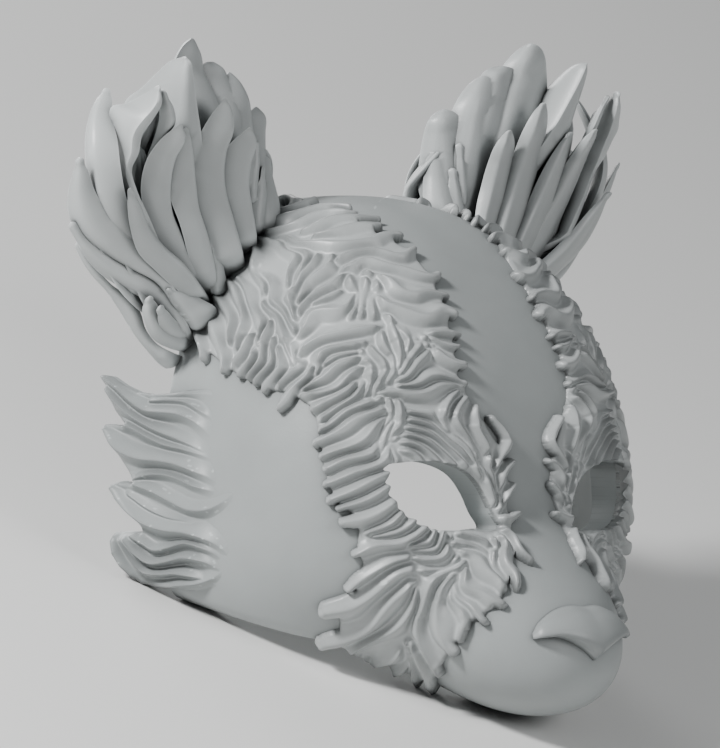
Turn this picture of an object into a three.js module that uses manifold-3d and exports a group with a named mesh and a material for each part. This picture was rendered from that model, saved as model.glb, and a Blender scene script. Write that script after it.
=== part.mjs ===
// Animal face mask: a rigid shell with a short muzzle, raised fur and tall fur ears.
// The frame is the mask's own: X to the wearer's left, Y to the back, Z up, in millimetres.
// It is modelled with the face upright and turned at the end to the way it rests on a table.
import * as THREE from 'three';
import { mergeVertices } from 'three/addons/utils/BufferGeometryUtils.js';
import Module from 'manifold-3d';

const wasm = await Module();
wasm.setup();

// Face shell, measured from the chin's lowest point
const FACE_HALF_WIDTH = 96;
const FACE_DEPTH = 103;
const CROWN_HEIGHT = 207;
const WIDEST_HEIGHT = 78;
const CHEEK_DEPTH_BELOW = 72;
const WALL = 12;
const SQUARENESS = 2.9;
const DOME_ROUNDNESS = 2.2;

// Underside of the jaw: a slanted floor that rises to the back
const JAW_SLOPE = 16;
const JAW_RISE = 10.5;
const JAW_ROUNDING = 7;
const CHIN_TO_EAR_LINE = 115;

// Muzzle
const MUZZLE_FORWARD = 81;
const MUZZLE_HEIGHT = 45;
const MUZZLE_HALF_WIDTH = 47.5;
const MUZZLE_LENGTH = 64;
const MUZZLE_HALF_HEIGHT = 35.7;
const MUZZLE_DROOP = 31;
const MUZZLE_BLEND = 22;

// Open back and underside
const RIM_BEHIND_EAR_LINE = 8;
const RIM_BEND_HEIGHT = 150;
const CROWN_RIM_BEHIND = 25;
const CHIN_LIP = 26;
const JAW_LIP = 22;

// Eye openings, placed and sized from the face
const EYE_WIDTH = 0.495 * FACE_HALF_WIDTH;
const EYE_HEIGHT = 0.1333 * CROWN_HEIGHT;
const EYE_FROM_MIDLINE = 0.208 * FACE_HALF_WIDTH;
const EYE_SILL_HEIGHT = 0.356 * CROWN_HEIGHT;

// Raised fur: its locks are lifted until their undersides lie inside the skin they grow from
const FUR_SKIN = 1.6;
const FUR_RELIEF = 3.6;
const FUR_LOCK_LIFT = 1.8;
const FUR_LOCK_HALF_WIDTH = 5.5;
const FUR_FROM_MIDLINE = 5;
const FUR_TO_EAR_GAP = 11;
const FUR_UNDER_EAR = FUR_RELIEF + 1;
const PIECE_GAP = 0.3;

// Ears, rooted on the upper corners of the face
const EAR_FROM_MIDLINE = 0.667 * FACE_HALF_WIDTH;
const EAR_ROOT_HEIGHT = 0.812 * CROWN_HEIGHT;
const EAR_HEIGHT = 98;
const EAR_MIDDLE_OUT = 0.25;
const EAR_LOCK_THICKNESS = 5;

// Cheek locks
const CHEEK_LOCK_REACH = 32;
const CHEEK_LOCK_HALF_WIDTH = 11;
const CHEEK_LOCK_THICKNESS = 8.5;

// Nose pad: its edges just stand out of the muzzle, and its back is set into it
const NOSE_HALF_WIDTH = 25;
const NOSE_BOTTOM_HEIGHT = 22.5;
const NOSE_HEIGHT = 21;
const NOSE_STAND_OUT = 4.5;
const NOSE_EDGE_STAND_OUT = 0.7;
const NOSE_BACK_DEPTH = 3;

// Fineness of the faceted surfaces
const AROUND_STEPS = 44;
const UP_STEPS = 22;
const INNER_AROUND_STEPS = 32;
const INNER_UP_STEPS = 16;
const FUR_LOCK_STEPS = 3;
const EAR_LOCK_STEPS = 5;
const CHEEK_LOCK_STEPS = 6;
const UNDERSIDE_STEPS = 16;

const HALF_ROOT = Math.SQRT1_2;
const CENTRE = new THREE.Vector3(0, -0.2 * FACE_DEPTH, 0.46 * CROWN_HEIGHT);
const ABOVE_CROWN = 1.1 * CROWN_HEIGHT;
const FAR_AWAY = 3 * CROWN_HEIGHT;
const LEFT = new THREE.Vector3(1, 0, 0);
const BACK = new THREE.Vector3(0, 1, 0);
const UP = new THREE.Vector3(0, 0, 1);

const clay = new THREE.MeshStandardMaterial({ color: 0xa9adad, roughness: 0.55, metalness: 0 });
const clayLight = new THREE.MeshStandardMaterial({ color: 0xb2b5b4, roughness: 0.5, metalness: 0 });
const clayDark = new THREE.MeshStandardMaterial({ color: 0x9b9f9f, roughness: 0.45, metalness: 0 });

// Smooth union of two distances
function blend(a, b, reach) {
  const share = THREE.MathUtils.clamp(0.5 + (0.5 * (b - a)) / reach, 0, 1);
  return b * (1 - share) + a * share - reach * share * (1 - share);
}

// Distance-like measure of the outer form: below zero inside, above zero outside
function form(x, y, z) {
  const rise = z - WIDEST_HEIGHT;
  const height = rise > 0 ? CROWN_HEIGHT - WIDEST_HEIGHT : CHEEK_DEPTH_BELOW;
  const plan = Math.pow(
    Math.pow(Math.abs(x / FACE_HALF_WIDTH), SQUARENESS) + Math.pow(Math.abs(y / FACE_DEPTH), SQUARENESS),
    DOME_ROUNDNESS / SQUARENESS,
  );
  const dome = Math.pow(plan + Math.pow(Math.abs(rise / height), DOME_ROUNDNESS), 1 / DOME_ROUNDNESS);
  const slope = THREE.MathUtils.degToRad(JAW_SLOPE);
  const floor = (y + CHIN_TO_EAR_LINE) * Math.sin(slope) - (z - JAW_RISE) * Math.cos(slope);
  const head = -blend((1 - dome) * FACE_DEPTH, -floor, JAW_ROUNDING);
  const droop = THREE.MathUtils.degToRad(MUZZLE_DROOP);
  const forward = y + MUZZLE_FORWARD;
  const above = z - MUZZLE_HEIGHT;
  const along = forward * Math.cos(droop) + above * Math.sin(droop);
  const across = above * Math.cos(droop) - forward * Math.sin(droop);
  const muzzle = Math.hypot(x / MUZZLE_HALF_WIDTH, along / MUZZLE_LENGTH, across / MUZZLE_HALF_HEIGHT) - 1;
  return blend(head, muzzle * MUZZLE_HALF_WIDTH, MUZZLE_BLEND);
}

function outward(point) {
  const step = 0.2;
  const { x, y, z } = point;
  return new THREE.Vector3(
    form(x + step, y, z) - form(x - step, y, z),
    form(x, y + step, z) - form(x, y - step, z),
    form(x, y, z + step) - form(x, y, z - step),
  ).normalize();
}

// Point on the outer form on a line, between a distance that is inside and one that is outside
function meet(origin, direction, inside, outside) {
  let low = inside;
  let high = outside;
  const point = new THREE.Vector3();
  for (let turn = 0; turn < 40; turn += 1) {
    const middle = (low + high) / 2;
    point.copy(origin).addScaledVector(direction, middle);
    if (form(point.x, point.y, point.z) < 0) low = middle;
    else high = middle;
  }
  return point;
}

function toSolid(positions, indices) {
  const geometry = new THREE.BufferGeometry();
  geometry.setAttribute('position', new THREE.Float32BufferAttribute(positions, 3));
  geometry.setIndex(indices);
  return geometryToSolid(geometry);
}

function geometryToSolid(geometry) {
  const bare = geometry.clone();
  bare.deleteAttribute('normal');
  bare.deleteAttribute('uv');
  const merged = mergeVertices(bare, 1e-4);
  return new wasm.Manifold(new wasm.Mesh({
    numProp: 3,
    vertProperties: new Float32Array(merged.attributes.position.array),
    triVerts: new Uint32Array(merged.index.array),
  }));
}

function solidToGeometry(solid) {
  const mesh = solid.getMesh();
  const geometry = new THREE.BufferGeometry();
  geometry.setAttribute('position', new THREE.BufferAttribute(new Float32Array(mesh.vertProperties), 3));
  geometry.setIndex(new THREE.BufferAttribute(new Uint32Array(mesh.triVerts), 1));
  return geometry;
}

// Closed surface at an even distance from the outer form, as rows of latitude about the centre
function formSolid(offset, aroundSteps, upSteps) {
  const positions = [];
  const indices = [];
  const put = (direction) => {
    const point = meet(CENTRE, direction, 0, FAR_AWAY);
    point.addScaledVector(outward(point), offset);
    positions.push(point.x, point.y, point.z);
  };
  put(new THREE.Vector3(0, 0, 1));
  for (let row = 1; row < upSteps; row += 1) {
    const up = Math.PI * (0.5 - row / upSteps);
    for (let column = 0; column < aroundSteps; column += 1) {
      const around = (2 * Math.PI * column) / aroundSteps;
      put(new THREE.Vector3(Math.sin(around) * Math.cos(up), -Math.cos(around) * Math.cos(up), Math.sin(up)));
    }
  }
  put(new THREE.Vector3(0, 0, -1));
  const last = positions.length / 3 - 1;
  const at = (row, column) => 1 + (row - 1) * aroundSteps + (column % aroundSteps);
  for (let column = 0; column < aroundSteps; column += 1) {
    indices.push(0, at(1, column), at(1, column + 1));
    indices.push(last, at(upSteps - 1, column + 1), at(upSteps - 1, column));
    for (let row = 1; row < upSteps - 1; row += 1) {
      const a = at(row, column);
      const b = at(row + 1, column);
      const c = at(row + 1, column + 1);
      const d = at(row, column + 1);
      // The two halves of the face are split by mirrored diagonals
      if (column < aroundSteps / 2) indices.push(a, b, d, d, b, c);
      else indices.push(a, b, c, a, c, d);
    }
  }
  return toSolid(positions, indices);
}

// A lock of fur: a pointed blade along a curve, with a ridged section.
// stations: points with the direction that the blade's flat side faces; section: number of its
// corners and the turn of the first; shape: width at the root and how full it stays toward the tip
function lockSolid(stations, halfWidth, halfThickness, section, shape) {
  const { sides, start } = section;
  const positions = [];
  const indices = [];
  const count = stations.length;
  const along = new THREE.Vector3();
  const across = new THREE.Vector3();
  const face = new THREE.Vector3();
  for (let i = 0; i < count; i += 1) {
    const { point, facing } = stations[i];
    const before = stations[Math.max(i - 1, 0)].point;
    const after = stations[Math.min(i + 1, count - 1)].point;
    along.subVectors(after, before).normalize();
    across.crossVectors(along, facing).normalize();
    face.crossVectors(across, along).normalize();
    const share = i / (count - 1);
    const swell = lockSwell(share, shape);
    for (let side = 0; side < sides; side += 1) {
      const turn = start + (2 * Math.PI * side) / sides;
      const corner = point.clone()
        .addScaledVector(across, Math.cos(turn) * halfWidth * swell)
        .addScaledVector(face, Math.sin(turn) * halfThickness * Math.sqrt(swell));
      positions.push(corner.x, corner.y, corner.z);
    }
  }
  const rootCentre = positions.length / 3;
  positions.push(stations[0].point.x, stations[0].point.y, stations[0].point.z);
  const tip = stations[count - 1].point;
  positions.push(tip.x, tip.y, tip.z);
  for (let side = 0; side < sides; side += 1) {
    const next = (side + 1) % sides;
    indices.push(rootCentre, side, next);
    indices.push(rootCentre + 1, (count - 1) * sides + next, (count - 1) * sides + side);
    for (let i = 0; i < count - 1; i += 1) {
      const low = i * sides;
      const high = low + sides;
      indices.push(low + side, high + side, low + next);
      indices.push(high + side, high + next, low + next);
    }
  }
  return toSolid(positions, indices);
}

// Width of a lock from root to tip as a share of its widest, with a blunt point
function lockSwell(share, { root, fullness }) {
  const widestAt = 0.45;
  const blunt = 0.12;
  const belly = root + (1 - root) * Math.sin(Math.min(share / widestAt, 1) * Math.PI * 0.5);
  const taper = Math.sqrt(Math.max(1 - Math.pow(share, fullness), 0));
  return Math.max(belly * taper, blunt);
}

const RIDGED = { sides: 3, start: -Math.PI / 6 };
const KEELED = { sides: 4, start: 0 };
const ROUNDED = { sides: 6, start: 0 };

// Curve through root, middle and tip
function throughMiddle(root, middle, tip) {
  const control = middle.clone().multiplyScalar(2).sub(root.clone().add(tip).multiplyScalar(0.5));
  return new THREE.QuadraticBezierCurve3(root, control, tip);
}

function join(solids) {
  return wasm.Manifold.union(solids);
}

// The piece itself, without crumbs or the sealed hollows that crossing locks leave between them
function wholePiece(solid) {
  return solid.decompose().reduce((best, part) => (part.volume() > best.volume() ? part : best));
}

function mirrored(solid) {
  return solid.mirror([1, 0, 0]);
}

// The right half of the face is laid out in a three-quarter view, 45 degrees from the front.
// Places in it are shares: across, of the face's half width and depth together as that view
// shows them, from its upright axis, and up, of the crown's height above the chin.
const VIEW_SPAN = (FACE_HALF_WIDTH + FACE_DEPTH) * HALF_ROOT;
const VIEW_DEPTH = VIEW_SPAN * 1.5;
const TOWARD_VIEW = new THREE.Vector3(-HALF_ROOT, -HALF_ROOT, 0);
const VIEW_RIGHT = new THREE.Vector3(HALF_ROOT, -HALF_ROOT, 0);

function inView(across, up, toward) {
  return new THREE.Vector3(0, 0, up * CROWN_HEIGHT)
    .addScaledVector(VIEW_RIGHT, across * VIEW_SPAN)
    .addScaledVector(TOWARD_VIEW, toward);
}

// First point of the face that the three-quarter view meets at a place
function onFace(across, up) {
  const start = inView(across, up, VIEW_DEPTH);
  const step = VIEW_DEPTH / 90;
  const away = TOWARD_VIEW.clone().negate();
  let travelled = 0;
  let nearest = Infinity;
  let nearestAt = 0;
  const probe = new THREE.Vector3();
  while (travelled < VIEW_DEPTH * 1.75) {
    probe.copy(start).addScaledVector(away, travelled);
    const measure = form(probe.x, probe.y, probe.z);
    if (measure < 0) return meet(probe, TOWARD_VIEW, 0, step);
    if (measure < nearest) {
      nearest = measure;
      nearestAt = travelled;
    }
    travelled += step;
  }
  return start.addScaledVector(away, nearestAt);
}

// Locks of the raised fur in the three-quarter view, from the ear round the brow, down the inner
// side of the eye and the cheek to the jaw, and back up the outer side
const FUR_LOCKS = [
  // root across, root up, middle across, middle up, tip across, tip up, share of the half width
  [-0.18, 0.925, -0.1, 0.952, -0.02, 0.968, 1],
  [-0.06, 0.89, 0.02, 0.915, 0.11, 0.936, 1],
  [0, 0.85, 0.1, 0.878, 0.2, 0.885, 1],
  [0.08, 0.8, 0.18, 0.82, 0.275, 0.833, 1],
  [0.1, 0.74, 0.2, 0.76, 0.31, 0.766, 1.09],
  [0.15, 0.68, 0.24, 0.69, 0.335, 0.675, 1.09],
  [0.14, 0.6, 0.24, 0.625, 0.332, 0.64, 1],
  [0.37, 0.49, 0.35, 0.55, 0.365, 0.596, 0.82],
  [0.42, 0.42, 0.44, 0.48, 0.41, 0.565, 0.82],
  [0.43, 0.375, 0.46, 0.385, 0.49, 0.4, 0.73],
  [0.45, 0.34, 0.49, 0.32, 0.524, 0.29, 0.82],
  [0.4, 0.3, 0.45, 0.27, 0.49, 0.237, 1],
  [0.32, 0.265, 0.37, 0.215, 0.42, 0.19, 1],
  [0.265, 0.238, 0.295, 0.18, 0.323, 0.127, 1.09],
  [0.21, 0.21, 0.24, 0.15, 0.275, 0.085, 1.09],
  [0.193, 0.18, 0.13, 0.13, 0.06, 0.105, 1.18],
  [0.19, 0.232, 0.08, 0.18, -0.05, 0.152, 1.18],
  [0.168, 0.275, 0.05, 0.235, -0.066, 0.21, 1],
  [0.17, 0.33, 0.09, 0.29, 0.008, 0.26, 1.09],
  [0.12, 0.39, 0.05, 0.375, -0.03, 0.375, 1],
  [0.113, 0.46, 0.014, 0.43, -0.066, 0.425, 1],
  [0.107, 0.55, 0.008, 0.51, -0.085, 0.5, 1.09],
  [0.02, 0.63, -0.03, 0.585, -0.088, 0.56, 1.09],
  [-0.11, 0.68, -0.15, 0.62, -0.19, 0.578, 0.91],
  [-0.19, 0.72, -0.21, 0.66, -0.25, 0.612, 1],
  [-0.29, 0.74, -0.3, 0.69, -0.325, 0.64, 0.91],
];

// Skin that the locks of the raised fur grow from, just inside their tips
const FUR_OUTLINE = [
  // across, up
  [-0.236, 0.962], [-0.128, 0.968], [-0.014, 0.949], [0.085, 0.914], [0.171, 0.883],
  [0.228, 0.837], [0.265, 0.779], [0.285, 0.721], [0.299, 0.653], [0.333, 0.605],
  [0.379, 0.557], [0.422, 0.508], [0.442, 0.45], [0.442, 0.383], [0.464, 0.325],
  [0.464, 0.267], [0.419, 0.218], [0.35, 0.18], [0.285, 0.131], [0.242, 0.079],
  [0.157, 0.05], [0.077, 0.09], [0, 0.13], [-0.028, 0.195], [0.043, 0.238],
  [0.066, 0.296], [0.043, 0.344], [0, 0.383], [-0.02, 0.431], [-0.043, 0.47],
  [-0.057, 0.547], [-0.077, 0.595], [-0.142, 0.634], [-0.2, 0.653], [-0.285, 0.672],
  [-0.37, 0.711], [-0.4, 0.75], [-0.342, 0.817], [-0.279, 0.871], [-0.248, 0.924],
];

// Depth of the raised fur in the three-quarter view: how far toward the viewer it has to be at
// the chin's height and at the crown's, as shares of the view's span
const FUR_NEAR_AT_CHIN = 0.7;
const FUR_NEAR_AT_CROWN = 0.1;

function furSkin(cover) {
  const outline = new THREE.Shape(FUR_OUTLINE.map(([across, up]) => (
    new THREE.Vector2(across * VIEW_SPAN, up * CROWN_HEIGHT)
  )));
  const prism = new THREE.ExtrudeGeometry(outline, { depth: VIEW_DEPTH, bevelEnabled: false, steps: 1 });
  prism.applyMatrix4(new THREE.Matrix4().makeBasis(VIEW_RIGHT, UP, TOWARD_VIEW));
  return geometryToSolid(prism).intersect(cover);
}

// Everything of the right half that faces the three-quarter view, in front of the ear
function furRoom() {
  const below = CROWN_HEIGHT - ABOVE_CROWN;
  const side = new THREE.Shape([
    new THREE.Vector2(FUR_NEAR_AT_CHIN * VIEW_SPAN, below),
    new THREE.Vector2(VIEW_DEPTH, below),
    new THREE.Vector2(VIEW_DEPTH, ABOVE_CROWN),
    new THREE.Vector2(FUR_NEAR_AT_CROWN * VIEW_SPAN, ABOVE_CROWN),
  ]);
  const wedge = new THREE.ExtrudeGeometry(side, { depth: VIEW_DEPTH * 2, bevelEnabled: false, steps: 1 });
  wedge.translate(0, 0, -VIEW_DEPTH);
  wedge.applyMatrix4(new THREE.Matrix4().makeBasis(TOWARD_VIEW, UP, VIEW_RIGHT.clone().negate()));
  const front = new THREE.BoxGeometry(FAR_AWAY, FAR_AWAY, FAR_AWAY);
  front.translate(-FUR_FROM_MIDLINE - FAR_AWAY / 2, -FUR_TO_EAR_GAP - FAR_AWAY / 2, 0);
  return geometryToSolid(wedge).intersect(geometryToSolid(front));
}

function furLock([rootAcross, rootUp, middleAcross, middleUp, tipAcross, tipUp, widthShare]) {
  const flat = throughMiddle(
    new THREE.Vector3(rootAcross, rootUp, 0),
    new THREE.Vector3(middleAcross, middleUp, 0),
    new THREE.Vector3(tipAcross, tipUp, 0),
  );
  const stations = [];
  for (let i = 0; i <= FUR_LOCK_STEPS; i += 1) {
    const place = flat.getPoint(i / FUR_LOCK_STEPS);
    const point = onFace(place.x, place.y);
    const facing = outward(point);
    stations.push({ point: point.addScaledVector(facing, FUR_LOCK_LIFT), facing });
  }
  const shape = { root: 0.5, fullness: 2.6 };
  const halfWidth = widthShare * FUR_LOCK_HALF_WIDTH;
  return lockSolid(stations, halfWidth, FUR_RELIEF - FUR_LOCK_LIFT, RIDGED, shape);
}

// Outline of an eye opening, from its inner corner along the upper lid and back along the lower
const EYE_OUTLINE = [
  // share of the width from the inner corner, share of the height above the sill
  [0, 0.03], [0.05, 0.27], [0.13, 0.56], [0.3, 0.85], [0.5, 0.97], [0.67, 1], [0.84, 0.98],
  [1, 0.93], [1, 0.83], [0.98, 0.56], [0.88, 0.27], [0.74, 0.08], [0.56, 0], [0.31, 0],
];

function leftEyeOpening() {
  const outline = new THREE.Shape(EYE_OUTLINE.map(([along, above]) => new THREE.Vector2(
    EYE_FROM_MIDLINE + along * EYE_WIDTH,
    EYE_SILL_HEIGHT + above * EYE_HEIGHT,
  )));
  const prism = new THREE.ExtrudeGeometry(outline, { depth: FACE_DEPTH, bevelEnabled: false, steps: 1 });
  prism.rotateX(Math.PI / 2);
  prism.translate(0, -FACE_DEPTH * 0.4, 0);
  return geometryToSolid(prism);
}

// What the open back takes away: everything behind the rim, which leans back at the crown
function openBack() {
  const side = new THREE.Shape([
    new THREE.Vector2(RIM_BEHIND_EAR_LINE, -CROWN_HEIGHT),
    new THREE.Vector2(FAR_AWAY, -CROWN_HEIGHT),
    new THREE.Vector2(FAR_AWAY, ABOVE_CROWN),
    new THREE.Vector2(CROWN_RIM_BEHIND, ABOVE_CROWN),
    new THREE.Vector2(RIM_BEHIND_EAR_LINE, RIM_BEND_HEIGHT),
  ]);
  const prism = new THREE.ExtrudeGeometry(side, { depth: FAR_AWAY, bevelEnabled: false, steps: 1 });
  prism.translate(0, 0, -FAR_AWAY / 2);
  prism.applyMatrix4(new THREE.Matrix4().makeBasis(BACK, UP, LEFT));
  return geometryToSolid(prism);
}

// What the open underside takes away, inside a lip that turns in under the jaw and the chin
function openUnderside() {
  const halfWidth = FACE_HALF_WIDTH - JAW_LIP;
  const front = FACE_DEPTH - CHIN_LIP;
  const outline = new THREE.Shape();
  outline.moveTo(-halfWidth, -FAR_AWAY / 4);
  outline.lineTo(halfWidth, -FAR_AWAY / 4);
  for (let i = 0; i <= UNDERSIDE_STEPS; i += 1) {
    const turn = (Math.PI * i) / UNDERSIDE_STEPS;
    const x = Math.sign(Math.cos(turn)) * Math.pow(Math.abs(Math.cos(turn)), 2 / SQUARENESS);
    outline.lineTo(x * halfWidth, Math.pow(Math.sin(turn), 2 / SQUARENESS) * front);
  }
  const depth = CROWN_HEIGHT * 0.6;
  const prism = new THREE.ExtrudeGeometry(outline, { depth, bevelEnabled: false, steps: 1 });
  prism.rotateX(Math.PI);
  prism.translate(0, 0, depth / 2);
  return geometryToSolid(prism);
}

// Big swept locks at the rear edge of the right cheek, root on the shell and tip behind the rim.
// The root and middle are places in the three-quarter view, the tip is out from the midline as a
// share of the half width, behind the ear line as a share of the reach, and up of the crown
const CHEEK_LOCKS = [
  // root across, root up, middle across, middle up, tip out, tip behind, tip up, share of the half width
  [-0.379, 0.57, -0.499, 0.585, 1.08, 1, 0.653, 0.86],
  [-0.379, 0.47, -0.513, 0.483, 1.08, 1, 0.553, 1],
  [-0.342, 0.363, -0.499, 0.37, 1.06, 0.98, 0.442, 1],
  [-0.351, 0.284, -0.513, 0.276, 1.06, 0.98, 0.34, 0.95],
];

function cheekLock([rootAcross, rootUp, middleAcross, middleUp, tipOut, tipBehind, tipUp, widthShare]) {
  const root = onFace(rootAcross, rootUp);
  root.addScaledVector(outward(root), -0.6 * CHEEK_LOCK_THICKNESS);
  const middle = onFace(middleAcross, middleUp);
  middle.addScaledVector(outward(middle), -0.3 * CHEEK_LOCK_THICKNESS);
  const tip = new THREE.Vector3(
    -tipOut * FACE_HALF_WIDTH,
    tipBehind * CHEEK_LOCK_REACH,
    tipUp * CROWN_HEIGHT,
  );
  const curve = throughMiddle(root, middle, tip);
  const facing = new THREE.Vector3(-1, 0.1, 0);
  const stations = [];
  for (let i = 0; i <= CHEEK_LOCK_STEPS; i += 1) {
    stations.push({ point: curve.getPoint(i / CHEEK_LOCK_STEPS), facing });
  }
  const shape = { root: 0.5, fullness: 3 };
  const halfWidth = widthShare * CHEEK_LOCK_HALF_WIDTH;
  return lockSolid(stations, halfWidth, CHEEK_LOCK_THICKNESS, ROUNDED, shape);
}

// Locks of the right ear, from its root centre: out from the midline, up and forward, as shares
// of the ear's height. The cup's locks stand round the back, the fan's locks inside its front
const EAR_CUP_LOCKS = [
  // root out, root up, root forward, belly out, belly up, belly forward,
  // tip out, tip up, tip forward, half width
  [-0.22, 0.2, -0.02, -0.18, 0.4, 0, -0.16, 0.57, 0.03, 0.11],
  [-0.19, 0.17, -0.05, -0.15, 0.46, -0.09, -0.11, 0.755, 0.035, 0.15],
  [-0.13, 0.12, -0.08, -0.03, 0.5, -0.15, 0.085, 0.89, 0.075, 0.18],
  [-0.04, 0.04, -0.1, 0.14, 0.5, -0.18, 0.24, 0.95, 0.085, 0.2],
  [0.04, -0.02, -0.1, 0.32, 0.47, -0.17, 0.34, 1, 0.1, 0.2],
  [0.08, -0.08, -0.09, 0.46, 0.44, -0.15, 0.5, 0.945, 0.245, 0.2],
  [0.14, -0.15, -0.06, 0.64, 0.33, -0.08, 0.66, 0.82, -0.04, 0.17],
  [0.15, -0.17, 0, 0.7, 0.33, 0.08, 0.665, 0.83, 0.26, 0.16],
  [0.2, -0.22, -0.04, 0.7, 0.15, -0.04, 0.87, 0.53, 0.03, 0.17],
  [0.24, -0.27, -0.02, 0.52, -0.06, 0.03, 0.78, 0.25, 0.1, 0.13],
];
const EAR_FAN_LOCKS = [
  [0.02, 0.07, 0.08, 0.02, 0.4, 0.19, 0.09, 0.665, 0.2, 0.075],
  [0.06, 0.04, 0.08, 0.17, 0.45, 0.23, 0.265, 0.775, 0.235, 0.085],
  [0.11, -0.04, 0.03, 0.3, 0.3, 0.2, 0.46, 0.655, 0.2, 0.07],
  [0.15, -0.06, 0.02, 0.46, 0.3, 0.21, 0.55, 0.67, 0.26, 0.085],
  [0.17, -0.12, 0.02, 0.56, 0.12, 0.16, 0.74, 0.41, 0.165, 0.065],
];

// turning: how far the locks' flat sides turn toward the ear's hollow as they stand further out
function earLock(row, turning, shape) {
  const [rootOut, rootUp, rootForward, bellyOut, bellyUp, bellyForward, ...tip] = row;
  const [tipOut, tipUp, tipForward, halfWidth] = tip;
  const place = (out, up, forward) => new THREE.Vector3(
    -EAR_FROM_MIDLINE - out * EAR_HEIGHT,
    -forward * EAR_HEIGHT,
    EAR_ROOT_HEIGHT + up * EAR_HEIGHT,
  );
  const curve = throughMiddle(
    place(rootOut, rootUp, rootForward),
    place(bellyOut, bellyUp, bellyForward),
    place(tipOut, tipUp, tipForward),
  );
  const fromMiddle = bellyOut - EAR_MIDDLE_OUT;
  const facing = new THREE.Vector3(fromMiddle * turning, -1, 0).normalize();
  const stations = [];
  for (let i = 0; i <= EAR_LOCK_STEPS; i += 1) {
    stations.push({ point: curve.getPoint(i / EAR_LOCK_STEPS), facing });
  }
  return lockSolid(stations, halfWidth * EAR_HEIGHT, EAR_LOCK_THICKNESS, KEELED, shape);
}

function rightEar(standing, furClearance) {
  const cup = EAR_CUP_LOCKS.map((row) => earLock(row, 1.2, { root: 0.45, fullness: 4.5 }));
  const fan = EAR_FAN_LOCKS.map((row) => earLock(row, 0.3, { root: 0.6, fullness: 3.2 }));
  return join([...cup, ...fan]).subtract(standing).subtract(furClearance);
}

// Nose pad, as upright profiles from its middle to its corner
const NOSE_SECTIONS = [
  // share of the half width, top edge up, ridge up, lower edge up, stand-out of the ridge
  [0, 1, 0.5, 0, 1],
  [0.3, 1.02, 0.54, 0.26, 1],
  [0.6, 0.93, 0.55, 0.42, 0.9],
  [0.85, 0.74, 0.52, 0.42, 0.7],
  [1, 0.5, 0.45, 0.4, 0.3],
];

function nosePad(standing) {
  const sections = [
    ...NOSE_SECTIONS.slice(1).reverse().map(([share, ...rest]) => [-share, ...rest]),
    ...NOSE_SECTIONS,
  ];
  const positions = [];
  const indices = [];
  const forward = BACK.clone().negate();
  const front = (x, z, lift) => {
    const point = meet(new THREE.Vector3(x, -MUZZLE_FORWARD, z), forward, 0, FAR_AWAY);
    return point.addScaledVector(outward(point), lift);
  };
  for (const [share, top, ridge, low, stand] of sections) {
    const x = share * NOSE_HALF_WIDTH;
    const height = (at) => NOSE_BOTTOM_HEIGHT + at * NOSE_HEIGHT;
    const lift = stand * NOSE_STAND_OUT;
    const corners = [
      front(x, height(top), NOSE_EDGE_STAND_OUT),
      front(x, height((top + ridge) / 2), lift * 0.75),
      front(x, height(ridge), lift),
      front(x, height((ridge * 2 + low) / 3), lift * 0.9),
      front(x, height(low), NOSE_EDGE_STAND_OUT),
      front(x, height(low), -NOSE_BACK_DEPTH),
      front(x, height(top), -NOSE_BACK_DEPTH),
    ];
    for (const corner of corners) positions.push(corner.x, corner.y, corner.z);
  }
  const sides = positions.length / 3 / sections.length;
  const lastSection = (sections.length - 1) * sides;
  for (let side = 0; side < sides; side += 1) {
    const next = (side + 1) % sides;
    for (let i = 0; i < sections.length - 1; i += 1) {
      const low = i * sides;
      const high = low + sides;
      indices.push(low + side, low + next, high + side);
      indices.push(high + side, low + next, high + next);
    }
    if (side > 0 && next > 0) {
      indices.push(0, next, side);
      indices.push(lastSection, lastSection + side, lastSection + next);
    }
  }
  return toSolid(positions, indices).subtract(standing);
}

// Lean that lets the chin and the lowest cheek locks touch the table together
function restLean(solid) {
  const { vertProperties } = solid.getMesh();
  const lowest = (lean, wanted) => {
    let low = Infinity;
    for (let i = 0; i < vertProperties.length; i += 3) {
      const y = vertProperties[i + 1];
      if ((y < -FACE_DEPTH / 2) === wanted) {
        low = Math.min(low, vertProperties[i + 2] * Math.cos(lean) - y * Math.sin(lean));
      }
    }
    return low;
  };
  let less = 0;
  let more = Math.PI / 3;
  for (let turn = 0; turn < 40; turn += 1) {
    const middle = (less + more) / 2;
    if (lowest(middle, true) < lowest(middle, false)) less = middle;
    else more = middle;
  }
  return less;
}

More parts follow.
